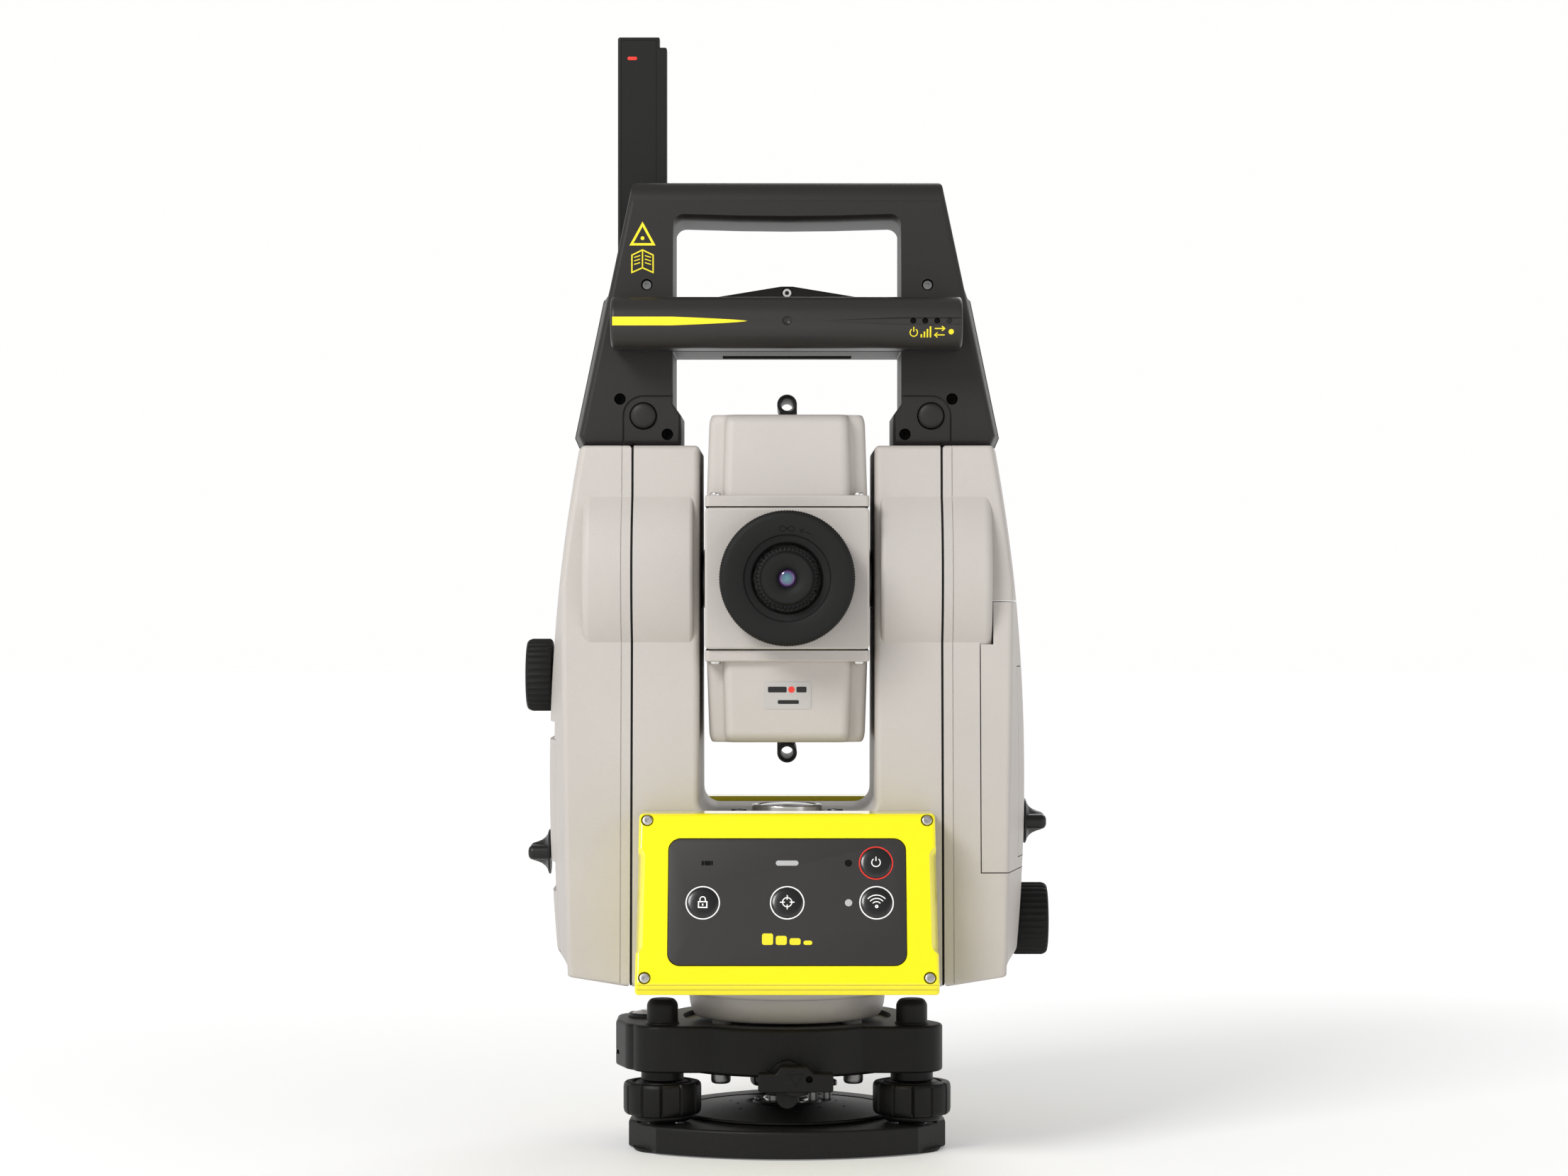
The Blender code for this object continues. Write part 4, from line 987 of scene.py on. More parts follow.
def make_covers():
    battery_low, battery_high = low("battery_door").z - GAP, high("battery_door").z + GAP
    knob_z, azimuth_z = centre("tilt_knob").z, centre("azimuth_knob").z
    half = high("battery_door").y + GAP
    shell = on_side(side_shell(), -1)
    cover = add("left_side_cover", shell, "shell", "alidade", ("left_cover",))
    join(cover, drum_stretch(-1, SEAM_X + SEAM, DRUM_X[1], (0, 3.4)))
    cut(cover, on_side(profile_groove(*SHELL_SEAM), -1))
    cut(cover, block((-82, -33, 188), (-60, 33, 286)))
    cut(cover, block((-120, -half, battery_low), (-66.6, half, battery_high)))
    cut(cover, block((-120, -30, battery_high - 1), (-96.7, 30, battery_high + 7.2)))
    cut(cover, around_x(-1, DRIVE_HOLE, knob_z, 64))
    cut(cover, around_x(-1, [(16.4, 100.8), (16.4, 125)], knob_z, 96))
    evened(cover)

    low_z, high_z = low("communication_cover").z - GAP, high("communication_cover").z + GAP
    panel_x = low("communication_cover").x - GAP
    cover = add("right_side_cover", side_shell(), "shell", "alidade", ("right_cover",))
    cut(cover, block((panel_x, -80, low_z), (130, 80, high_z)))
    join(cover, drum_stretch(1, SEAM_X + SEAM, DRUM_X[1], (0, 3.4)))
    cut(cover, profile_groove(*SHELL_SEAM))
    cut(cover, block((60, -33, 84), (91, 33, 112)))
    cut(cover, block((66.6, -33, 124), (90, 33, 228)))
    cut(cover, around_x(1, DRIVE_HOLE, azimuth_z, 64))
    cut(cover, around_x(1, [(16.4, 97.0), (16.4, 125)], azimuth_z, 96))
    evened(cover)

    panel = add("communication_panel", side_shell(), "shell", "alidade", ("communication_cover",))
    keep(panel, block((panel_x + PANEL_GAP, -80, low_z + PANEL_GAP), (130, 80, high_z - PANEL_GAP)))
    cut(panel, drum_stretch(1, 60, DRUM_X[1] + PANEL_GAP, clearance=PANEL_GAP))
    card_low, card_high = low("card_door").z - GAP, high("card_door").z + GAP
    cut(panel, block((70, -half, card_low), (130, half, card_high)))
    evened(panel)


def make_doors():
    low_z, high_z = low("battery_door").z + 0.15, high("battery_door").z - 0.15
    half = high("battery_door").y - 0.15
    door = add("battery_door_lid", on_side(side_shell(), -1), "shell", "battery_door", ("battery_door",))
    keep(door, block((-130, -half, low_z), (-side_reach(low_z) + 9.0, half, high_z)))
    cut(door, block((-120, -30, 109.2), (-97.0, 30, 121.7)))
    cut(door, block((-95.5, -26, 92), (-80, 26, 166)))
    cut(door, around_x(-1, LOCK_HOLE, centre("battery_lock_knob").z, 48))
    evened(door)
    low_z, high_z = low("card_door").z + 0.15, high("card_door").z - 0.15
    half = high("card_door").y - 0.15
    door = add("card_door_lid", side_shell(), "shell", "card_door", ("card_door",))
    keep(door, block((side_reach(low_z) - 5.0, -half, low_z), (130, half, high_z)))
    cut(door, around_x(1, LOCK_HOLE, centre("card_lock_knob").z, 48))
    evened(door)


def make_locks():
    """Wing locks: a concave flared foot and a thin wing with a rounded tip."""
    for name, side in (("battery_lock_knob", -1), ("card_lock_knob", 1)):
        z = centre(name).z
        base = high(name).x - 9.4 if side > 0 else -low(name).x - 9.4
        foot = [
            (3.0, base - 7), (3.0, base), (9.4, base), (9.65, base + 0.2), (9.65, base + 0.7),
            (9.2, base + 1.0),
        ]
        foot += [
            (7.6, base + 1.5), (6.3, base + 2.4), (5.2, base + 3.8), (4.4, base + 5.6), (3.8, base + 7.6),
            (3.0, base + 8.6),
        ]
        knob = add(name + "_piece", around_x(side, foot, z, 96), "anodised", name, (name,))
        blade = slab(rectangle(9.4, 3.2, 3.0, (0, z)), "X", base + 0.9, base + 9.4, (0, 2.2))
        join(knob, on_side(blade, side))
        evened(knob)


def make_drive_knobs():
    """Ribbed drives with a plain rim and a dished end."""

    def ribbed(radius, angle):
        if radius < 15.2:
            return radius
        phase = (angle * 36 / (2 * math.pi)) % 1.0
        return radius - 0.55 * (1 - abs(2 * phase - 1)) ** 0.5

    for name, side, base in (("tilt_knob", -1, 101.1), ("azimuth_knob", 1, 97.3)):
        z = centre(name).z
        tip = abs(low(name).x if side < 0 else high(name).x)
        profile = [
            (5.0, base), (14.6, base), (15.3, base + 0.5), (15.6, base + 1.2), (15.6, tip - 2.6),
            (15.3, tip - 1.6),
        ]
        profile += [
            (14.9, tip - 0.8), (14.2, tip - 0.2), (13.2, tip), (12.2, tip - 0.3), (11.6, tip - 0.9),
            (5.0, tip - 1.1), (1.0, tip - 1.1),
        ]
        add(name + "_piece", around_x(side, profile, z, 360, ribbed), "rubber", name, (name,))
        cap = softened([(11.2, tip - 1.2), (11.2, tip - 0.9), (9.6, tip - 0.6), (0.5, tip - 0.5)], 0.4)
        add(name + "_cap", around_x(side, cap, z, 96), "anodised", name)
        add(name + "_stem", around_x(side, [(4.6, 94.0), (4.6, base + 1)], z, 48), "dark_steel", name)


def make_round_level():
    spot = (centre("round_level").x, centre("round_level").y)
    top = high("round_level").z
    start = low("round_level").z
    ring = softened(
        [
            (15.0, start), (15.0, top - 1.2), (14.6, top - 0.6), (13.4, top - 0.5), (13.0, top - 1.1),
            (12.9, start),
        ],
        0.3,
    )
    add(
        "round_level_ring", turned(ring, at=spot, segments=128, hollow=True), "steel", "alidade",
        ("round_level",),
    )
    add(
        "round_level_dial", turned([(12.8, start + 0.2), (12.8, top - 2.0)], at=spot, segments=96), "white",
        "alidade",
    )
    dome = [
        (12.7, top - 1.9), (12.7, top - 1.2), (11.0, top - 0.75), (8.0, top - 0.35), (4.0, top - 0.08),
        (0.5, top),
    ]
    add("round_level_lens", turned(dome, at=spot, segments=96), "level_glass", "alidade")
    place = flat_place(Matrix.Translation((*spot, top - 2.0)))
    marks = [
        print_strip(circle_points(r, count=64), 0.5, place, PRINT, closed=True)
        for r in (4.2, 7.4, 11.4)
    ]
    marks += [print_strip([polar(8.6, a), polar(11.0, a)], 0.7, place, PRINT) for a in range(15, 360, 30)]
    add("round_level_marks", merged(*marks), "anodised", "alidade")
    for i, x in enumerate((-20.5, 20.5)):
        screw_head(
            f"round_level_screw_{i}", "alidade", "dark_steel",
            Matrix.Translation((x, spot[1] - 2, FLOOR_Z)), 3.4, 0.9,
        )


# Keyboards


PANEL_HALF = (high("front_key_panel").x, 26.65)
FACE_TILT = math.radians(20)
FACE_CENTRE = (-87.3, 109.8)  # Y and Z of the middle of the key panel's face
KEY_SPOTS = {
    "lock_key": (-34.5, -0.5), "measure_key": (0, -0.5), "radio_key": (36.5, -0.5),
    "power_key": (36.4, 16.3),
}
KEY_R = 6.5
KEYBOARD_Z = (72.7, 145.0)
KEYBOARDS = {-1: "front", 1: "rear"}
SCREW_SPOTS = ((-57.6, 34.7), (57.6, 34.7), (-58.0, -31.9), (58.0, -31.9))


def face_matrix(side):
    """From a keyboard face's own axes (across, up the slope, outwards) to the whole object's."""
    y, z = FACE_CENTRE
    lean = Matrix.Rotation(math.pi / 2 - FACE_TILT, 4, "X")
    face = Matrix.Translation((0, y, z)) @ lean
    return face if side < 0 else Matrix.Rotation(math.pi, 4, "Z") @ face


def make_keyboard_case(side):
    """A wedge with a pocket for the panel, scooped edges between its screws and a ridged foot."""
    prefix = KEYBOARDS[side]
    name = prefix + "_keyboard_case"
    matrix = face_matrix(side)
    foot, top = KEYBOARD_Z
    back_high, back_low = half_depth(top) + GAP, half_depth(foot) + GAP
    wedge = [
        (-back_low, foot, 0), (-back_high, top, 0), (-74.5, top, 3.2), (-99.2, 76.9, 2.6),
        (-97.0, foot, 0.5),
    ]
    bm = slab(wedge, "X", -62.0, 62.0, (1.6, 1.6))
    for vert in bm.verts:
        vert.co.x *= 1 - 0.00022 * (vert.co.z / MM - foot)
    spin = Matrix.Rotation(math.pi, 4, "Z") if side > 0 else Matrix.Identity(4)
    case = add(name + "_shell", moved(bm, spin), "yellow", "alidade", (name,))
    scoops = []
    for edge in (-1, 1):
        # A long facet along the edge, whose ends run out diagonally before the screws
        corners = [(58.8, -19.5, 4), (66, -27.5, 0), (66, 29.0, 0), (58.3, 21.0, 4)]
        rings = []
        for depth, shift in ((3.0, -1.8), (0.0, 0.0), (-2.0, 1.3), (-8.0, 3.5), (-16.0, 5.0)):
            rings.append([(edge * (p.x + shift), p.y, depth) for p in outline(corners, 0, 8)])
        scoops.append(moved(skin(rings), matrix))
    cut(case, *scoops)
    for z, depth in ((74.7, 97.5), (76.7, 98.3)):
        cut(case, moved(block((-70, -104, z), (70, -depth, z + 0.5)), spin))
    pocket = slab(rectangle(PANEL_HALF[0] + 0.35, PANEL_HALF[1] + 0.35, 5.2), "Z", -6, 12)
    cut(case, moved(pocket, matrix))
    for i, spot in enumerate(SCREW_SPOTS):
        hole = turned([(2.6, -4.0), (2.6, 4.0)], at=spot, segments=48)
        cut(case, moved(hole, matrix))
        place = matrix @ Matrix.Translation((*spot, -1.4))
        screw_head(f"{prefix}_case_screw_{i}", "alidade", "steel", place, 2.15, 1.5, "hex")
    evened(case)


def make_key_panel(side):
    prefix = KEYBOARDS[side]
    matrix = face_matrix(side)
    place = flat_place(matrix @ Matrix.Translation((0, 0, 0.2)))
    panel = add(
        prefix + "_key_panel_film",
        moved(slab(rectangle(*PANEL_HALF, 4.9), "Z", -5.7, 0.2, (0, 0.25)), matrix), "panel", "alidade",
        (prefix + "_key_panel",),
    )
    holes = [
        moved(turned([(KEY_R + 0.25, -8), (KEY_R + 0.25, 5)], at=spot, segments=72), matrix)
        for spot in KEY_SPOTS.values()
    ]
    cut(panel, *holes)
    lamps = {
        "status_lamp": ((0, 16.3), 4.65, 1.1, "lamp"), "link_lamp": ((25.1, -0.5), 1.5, 1.5, "lamp"),
        "power_lamp": ((25.1, 16.3), 1.5, 1.5, "black_and_shade"),
    }
    for name, (spot, half_u, half_v, look) in lamps.items():
        corners = rectangle(half_u, half_v, min(half_u, half_v) * 0.98, spot)
        add(f"{prefix}_{name}", moved(slab(corners, "Z", 0.0, 0.32, (0, 0.1)), matrix), look, "alidade")
    for i, (u, width) in enumerate(((-34.6, 1.0), (-32.6, 2.6), (-30.8, 0.7))):
        add(
            f"{prefix}_light_sensor_{i}",
            moved(slab(rectangle(width / 2, 0.95, 0.3, (u, 16.3)), "Z", 0.0, 0.26), matrix), "black_and_shade",
            "alidade",
        )
    for name, spot in KEY_SPOTS.items():
        look = "red" if name == "power_key" else "white"
        ring = print_strip(circle_points(6.8, spot, count=96), 0.5, place, PRINT, closed=True)
        add(f"{prefix}_{name}_ring", ring, look, "alidade")
    mark = []
    for i, (u, width) in enumerate(((-8.0, 4.5), (-2.4, 4.5), (3.2, 4.5), (8.4, 3.6))):
        bar = outline(rectangle(width / 2, 2.4 - 0.5 * i, 0.9, (u, -15.8 - 0.5 * i)), 0, 5)
        mark.append(print_fill([tuple(p) for p in bar], place, PRINT))
    add(prefix + "_panel_mark", merged(*mark), "yellow_mark", "alidade")


def make_keys(side):
    prefix = KEYBOARDS[side]
    matrix = face_matrix(side)
    for name, spot in KEY_SPOTS.items():
        body = f"{prefix}_{name}"
        dome = [
            (KEY_R, -4.8), (KEY_R, 0.35), (6.35, 0.62), (6.0, 0.82), (5.0, 1.02), (3.5, 1.13), (1.8, 1.18),
            (0.3, 1.2),
        ]
        add(body + "_dome", moved(turned(dome, at=spot, segments=96), matrix), "key", body, (body,))
        lifted = lambda u, v, lift: matrix @ Vector(
            (u, v, 1.2 - 0.0068 * ((u - spot[0]) ** 2 + (v - spot[1]) ** 2) + lift)
        )
        marks = [piece(spot, lifted) for piece in KEY_MARKS[name]]
        add(body + "_mark", merged(*marks), "white", body)


def strip_at(points, width, closed=False):
    """A mark's band, drawn about a key's own centre."""
    return lambda spot, place: print_strip(
        [(spot[0] + u, spot[1] + v) for u, v in points], width, place, 0.06, closed
    )


KEY_MARKS = {
    "power_key": [
        strip_at(circle_points(1.75, start=125, end=415, count=40), 0.42),
        strip_at([(0, 0.6), (0, 2.5)], 0.42),
    ],
    "lock_key": [
        strip_at([(-1.7, 0.2), (1.7, 0.2), (1.7, -2.2), (-1.7, -2.2)], 0.5, True),
        strip_at(
            [(-1.1, 0.45), (-1.1, 1.2)] + circle_points(1.1, (0, 1.2), 180, 0, 14) + [(1.1, 0.45)], 0.45
        ),
        strip_at([(0, -0.6), (0, -1.5)], 0.55),
    ],
    "measure_key": [
        strip_at(circle_points(1.9), 0.42, True),
        strip_at([(-3.0, 0), (-1.0, 0)], 0.42), strip_at([(1.0, 0), (3.0, 0)], 0.42),
        strip_at([(0, -3.0), (0, -1.0)], 0.42), strip_at([(0, 1.0), (0, 3.0)], 0.42),
    ],
    "radio_key": [
        strip_at(circle_points(0.45, (0, -1.8), count=16), 0.5, True),
        strip_at(circle_points(2.0, (0, -1.8), 40, 140, 18), 0.42),
        strip_at(circle_points(3.4, (0, -1.8), 40, 140, 22), 0.42),
        strip_at(circle_points(4.8, (0, -1.8), 42, 138, 26), 0.42),
    ],
}


# Handle and radio


BAR_Z = (low("radio_module").z, high("radio_module").z)
GRIP_TOP = high("handle_front").z
GRIP_LOW = 393.9
LEG_X = 48.4
FOOT_X = 45.0
BAR_FLAT = 0.25  # half height of the radio bar's flat front
BUTTON = (centre("handle_button_right").x, centre("handle_button_right").z)
HINGE = (centre("antenna").x, 350.0)  # X and Z of the antenna's hinge
FLARE_DEPTHS = (-2.0, 0.0, 0.12, 0.4, 0.9, 1.7, 2.8, 4.2, 6.0, 8.0, 10.0, 12.5, 40.0)
FRONT_Y = low("handle_front").y  # front face of the handle at its foot
HANDLE_SCREWS = (
    (-59.6, 366.8), (59.7, 366.8), (-70.9, 318.2), (70.0, 318.2), (-50.8, 303.2), (50.0, 303.2)
)


def handle_outline(spread):
    """Outer edge of the handle with its feet; spread is how much wider it is at this depth."""
    foot, shoulder = 88.4 + spread, 76.0 + spread
    right = [(30, TOP_Z + GAP, 0), (foot - 1.9, TOP_Z + GAP, 0), (foot, 302.6, 0.5), (shoulder, 362, 1.2)]
    return both_sides(right + [(75.4, 365, 1.2), (65.7, GRIP_TOP, 2.4)])


def handle_depth(z):
    return -FRONT_Y - 0.03 * (z - TOP_Z)


def half_handle(node_name, side, spreads, last_spread):
    """Half of the handle in depth, from the parting line to its rounded outer face, with its openings."""
    rings = []
    edge = [(0.9 + 0.1 * math.sin(a), last_spread, 2.6 * (1 - math.cos(a))) for a in quarter(7, 1)]
    for along, spread, inset in spreads + edge:
        ring = outline(handle_outline(spread), inset, 8)
        rings.append([(p.x, side * along, p.y) for p in ring])
    shell = add(node_name + "_shell", sloped(skin(rings), handle_depth), "handle", "alidade", (node_name,))
    cut(shell, flare(grip_opening, side, 4.2, (8.6, 12.5)))
    cut(shell, flare(lower_opening, side, 4.0, (0.0, 1.0)))
    rounded_grip(shell, side)
    return shell


def flare(corners_at, side, reach_u, reach_v):
    """What cuts an opening whose edge at the outer face is rounded, more along its top than its sides."""
    rings = []
    for depth in FLARE_DEPTHS:
        t_u, t_v = (min(1.0, max(0.0, 1 - depth / reach)) for reach in (reach_u, reach_v[1]))
        grow_u = reach_u * (1 - math.sqrt(1 - t_u**2))
        grow_v = reach_v[0] * (1 - math.sqrt(1 - t_v**2))
        rings.append([(p.x, side * (31.0 - depth), p.y) for p in outline(corners_at(grow_u, grow_v), 0, 8)])
    return skin(rings)


def grip_opening(grow_u, grow_v):
    start, leg, radius = BAR_Z[1] - 1.5, LEG_X + grow_u, 4.6 + grow_u * 0.5
    return [
        (-leg, start, 0), (leg, start, 0), (leg, GRIP_LOW + 0.9 + grow_v, radius),
        (20, GRIP_LOW + 0.1 + grow_v, 0), (0, GRIP_LOW - 0.1 + grow_v, 0), (
            -20, GRIP_LOW + 0.1 + grow_v, 0
        ),
        (-leg, GRIP_LOW + 0.9 + grow_v, radius),
    ]


def lower_opening(grow_u, _):
    foot, leg = FOOT_X + grow_u, LEG_X + grow_u
    return both_sides([(foot, 290, 0), (foot, 311.2, 0.6), (leg, 316.0, 0.6), (leg, BAR_Z[0], 0.6)])


def handle_grooves(side):
    """The seams around the mount blocks at the feet."""
    x, z = 69.4, TOP_Z
    shapes = []
    for hand in (-1, 1):
        path = [(hand * x, z - 2), (hand * x, z + 13.0)]
        path += [(hand * (61.0 + 8.4 * math.cos(a)), z + 13.0 + 8.4 * math.sin(a)) for a in quarter(10, 1)]
        path += [(hand * 46.0, z + 21.4)]
        place = lambda u, v, up: Vector((u, side * (handle_depth(v) - 1.0 + up), v))
        shapes.append(print_strip(path, 0.8, place, 3.5))
    return shapes


def make_handle_front():
    spreads = [(GAP / 60, 2.9, 0), (0.45, 1.5, 0), (0.5, 1.35, 0), (0.9, 0.15, 0)]
    shell = half_handle("handle_front", -1, spreads, 0.0)
    cut(shell, *handle_grooves(-1))
    for hand in (-1, 1):
        spot = (hand * BUTTON[0], BUTTON[1])
        cut(shell, turned([(5.85, -40), (5.85, -20)], "Y", spot, 96))
    front_screws(shell)
    evened(shell)


def rounded_grip(shell, side):
    """Rounds the grip's top edge between the legs, where a hand closes around it."""
    corners = [(side * 40.0, GRIP_TOP + 4.0, 0)]
    radius, back = 9.0, side * handle_depth(GRIP_TOP)
    for i in range(17):
        angle = math.pi / 2 * i / 16
        corners.append(
            (
                back - side * radius * (1 - math.cos(angle)) + side * 0.02,
                GRIP_TOP - radius * (1 - math.sin(angle)) + 0.02, 0,
            )
        )
    rings = [[(x, y, z) for y, z, _ in corners] for x in (-75, 75)]
    cut(shell, skin(rings))


def front_screws(shell):
    for i, (x, z) in enumerate(HANDLE_SCREWS):
        front = -handle_depth(z)
        cut(shell, turned([(2.45, front - 3), (2.45, front + 5.2)], "Y", (x, z), 56))
        # The deeper lower screws are made near black: painted shade in their holes.
        depth, look = (1.8, "dark_steel") if z > 350 else (3.8, "black_and_shade")
        place = facing((x, front + depth + 1.2, z), (0, -1, 0))
        screw_head(f"handle_screw_{i}", "alidade", look, place, 2.3, 1.3)


def make_handle_rear():
    # A lip reaches over the parting line, so that no light passes between the halves.
    spreads = [
        (-GAP / 66, 3.2, 1.2), (GAP / 60, 3.2, 1.2), (GAP / 60, 3.2, 0), (0.35, 3.2, 0), (0.9, 0.3, 0)
    ]
    shell = half_handle("handle_rear", 1, spreads, 0.15)
    foot, eaves = BAR_Z[1] - 6, BAR_Z[1] + 1.9
    peak = [
        (-50, foot, 0), (50, foot, 0), (50, eaves, 0), (2.5, 369.8, 3), (-2.5, 369.8, 3), (-50, eaves, 0)
    ]
    join(shell, slab(peak, "Y", 18, 27, (0.7, 0.7)))
    cut(shell, *handle_grooves(1))
    cut(shell, turned([(5.6, 15), (5.6, 45)], "Y", HINGE, 64))
    cut(shell, turned([(2.45, 14), (2.45, 19.4)], "Y", (0, 367.0), 48))
    cut(shell, block((-28, 2, BAR_Z[0] - 1), (28, 22, BAR_Z[0] + 1.2)))
    place = facing((0, 20.3, 367.0), (0, -1, 0))
    screw_head("bracket_screw", "alidade", "steel", place, 2.3, 1.2)
    for i, (x, z) in enumerate(HANDLE_SCREWS[:4]):
        back = handle_depth(z)
        cut(shell, turned([(2.45, back - 4.0), (2.45, back + 3)], "Y", (x, z), 56))
        screw_head(
            f"handle_rear_screw_{i}", "alidade", "dark_steel", facing((x, back - 3.4, z), (0, 1, 0)), 2.3,
            1.3,
        )
    evened(shell)


def make_handle_buttons():
    for name, hand in (("handle_button_left", -1), ("handle_button_right", 1)):
        spot = (hand * BUTTON[0], BUTTON[1])
        front = low(name).y
        profile = [
            (0.4, front), (2.4, front + 0.06), (4.0, front + 0.28), (4.9, front + 0.6), (5.25, front + 1.0),
            (5.4, front + 1.6), (5.4, -23.5),
        ]
        add(name + "_cap", turned(profile, "Y", spot, 96), "handle", name, (name,))


def bar_front(v):
    """Y of the radio bar's rounded front at a height above its middle, in millimetres."""
    radius = (BAR_Z[1] - BAR_Z[0]) / 2 - BAR_FLAT
    off = min(radius, max(0.0, abs(v) - BAR_FLAT))
    return low("radio_module").y + radius - math.sqrt(radius**2 - off**2)


def make_radio_module():
    start, end = low("radio_module").x, high("radio_module").x
    middle = (BAR_Z[0] + BAR_Z[1]) / 2
    front, half = low("radio_module").y, (BAR_Z[1] - BAR_Z[0]) / 2
    back = -30.6
    corners = [
        (front, BAR_Z[0], half - BAR_FLAT), (back, BAR_Z[0], 1.5), (back, BAR_Z[1], 1.5),
        (front, BAR_Z[1], half - BAR_FLAT),
    ]
    bar = add(
        "radio_bar", slab(corners, "X", start, end, (1.6, 1.6), 24), "radio", "alidade", ("radio_module",)
    )
    place = lambda u, v, lift: Vector((u, bar_front(v) - lift, middle + v))
    groove = taper_outline(72.9, 16.0, 1.55)
    cut(
        bar,
        draped(
            groove, lambda u, v,
            lift: Vector((u, bar_front(v) + 0.7 * min(1.0, (u - 12) / 30) - lift, middle + v)), 3.0,
        ),
    )
    dimple = moved(
        turned(arc_profile(2.4, 2.0), segments=64), facing((0, front + 0.02, middle + 0.15), (0, -1, 0))
    )
    cut(bar, dimple)
    lamps = (52.6, 57.6, 62.6, 67.6)
    cut(
        bar,
        *[
            moved(
                turned([(1.25, -2.2), (1.25, 3)], at=(0, 0), segments=40),
                facing((x, bar_front(0.2), middle + 0.2), (0, -1, 0)),
            )
            for x in lamps
        ],
    )
    for i, x in enumerate(lamps):
        depth = 1.4 if i < 3 else 0.55
        lens = turned([(1.2, -1.0), (1.2, -0.1), (0.9, 0.0)], segments=40)
        look = "black_and_shade" if i < 3 else "antenna"
        add(
            f"radio_lamp_{i}", moved(lens, facing((x, bar_front(0.2) + depth, middle + 0.2), (0, -1, 0))),
            look, "alidade",
        )
    stripe = [(-u, v) for u, v in reversed(taper_outline(-start - 0.9, 16.6, 1.82))]
    add("radio_stripe", draped(stripe, place, 0.1), "yellow_mark", "alidade")
    icon_z = -4.4
    power = [
        print_strip(circle_points(1.55, (52.8, icon_z - 0.3), 125, 415, 36), 0.42, place, PRINT),
        print_strip([(52.8, icon_z), (52.8, icon_z + 2.0)], 0.42, place, PRINT),
    ]
    bars = []
    for i in range(4):
        foot, rise = icon_z - 2.3, 1.3 + 1.05 * i
        bars.append(
            print_strip([(56.0 + 1.25 * i, foot + rise * k / 8) for k in range(9)], 0.65, place, PRINT)
        )
    arrows = []
    for lift, hand in ((1.3, 1), (-1.3, -1)):
        tip, row = 63.6 + hand * 2.1, icon_z + lift
        arrows.append(print_strip([(63.6 - hand * 2.1, row), (tip - hand * 0.5, row)], 0.45, place, PRINT))
        barbs = [(tip - hand * 1.2, row + 1.0), (tip, row), (tip - hand * 1.2, row - 1.0)]
        arrows.append(print_strip(barbs, 0.42, place, PRINT))
    spot = [print_fill(circle_points(1.1, (68.4, icon_z), count=28), place, PRINT)]
    add("radio_marks", merged(*power, *bars, *arrows, *spot), "yellow_mark", "alidade")
    evened(bar)


def taper_outline(far, near, half):
    """A band that tapers to a point at its near end, as an outline from there and back."""
    steps = 40
    upper = []
    for i in range(steps + 1):
        u = near + (far - near) * i / steps
        t = min(1.0, (u - near) / ((far - near) * 0.56))
        upper.append((u, half * t**0.67))
    lower = [(u, -v) for u, v in upper[1:]]
    return list(reversed(upper)) + lower


def draped(points, place, thickness):
    """A filled outline made of rows, so that it follows a curved surface."""
    bm = bmesh.new()
    top_row, low_row = points[: len(points) // 2 + 1], points[len(points) // 2:]
    pairs = list(zip(top_row, reversed(low_row)))
    count = 8
    layers = []
    for lift in (0.0, thickness):
        layer = []
        for a, b in pairs:
            layer.append(
                [
                    bm.verts.new(place(a[0], a[1] + (b[1] - a[1]) * k / count, lift) * MM)
                    for k in range(count + 1)
                ]
            )
        layers.append(layer)
    base, top = layers
    for layer in layers:
        for i in range(len(layer) - 1):
            for k in range(count):
                bm.faces.new((layer[i][k], layer[i + 1][k], layer[i + 1][k + 1], layer[i][k + 1]))
    for i in range(len(base) - 1):
        for k in (0, count):
            bm.faces.new((base[i][k], base[i + 1][k], top[i + 1][k], top[i][k]))
    for i in (0, len(base) - 1):
        for k in range(count):
            bm.faces.new((base[i][k], base[i][k + 1], top[i][k + 1], top[i][k]))
    bmesh.ops.remove_doubles(bm, verts=bm.verts, dist=1e-7)
    bmesh.ops.recalc_face_normals(bm, faces=bm.faces)
    return bm


def arc_profile(radius, reach):
    """A shallow ball's profile, for a dimple of a given half width."""
    depth = radius - math.sqrt(radius**2 - reach**2)
    angles = [math.asin(reach / radius) * i / 10 for i in range(1, 11)]
    points = [(radius * math.sin(a), radius - radius * math.cos(a) - depth) for a in angles]
    return points + [(reach, 3.0)]


def make_handle_marks():
    """Generic yellow pictograms on the left leg: a triangle with a dot, and an open book."""
    place = lambda u, v, lift: Vector((u, -handle_depth(v) - lift, v))
    centre_x, base = -61.4, 384.0
    triangle = [(centre_x - 4.7, base), (centre_x + 4.7, base), (centre_x, base + 8.6)]
    marks = [
        print_strip(triangle, 1.0, place, 0.07, closed=True),
        print_fill(circle_points(0.8, (centre_x, base + 2.6), count=24), place, 0.07),
    ]
    left, right, foot, top = centre_x - 4.5, centre_x + 4.5, 372.0, 380.4
    marks.append(
        print_strip(
            [
                (left, foot), (left, top - 1.0), (centre_x, top + 1.2), (right, top - 1.0), (right, foot),
                (centre_x, foot + 2.0),
            ],
            0.55, place, 0.07, closed=True,
        )
    )
    marks.append(print_strip([(centre_x, foot + 2.0), (centre_x, top + 1.0)], 0.5, place, 0.07))
    for i in range(3):
        z = foot + 3.4 + 1.5 * i
        marks.append(print_strip([(centre_x + 1.0, z + 0.8), (right - 0.9, z)], 0.4, place, 0.07))
        marks.append(print_strip([(left + 0.9, z), (centre_x - 1.0, z + 0.8)], 0.4, place, 0.07))
    add("handle_marks", merged(*marks), "yellow_mark", "alidade")


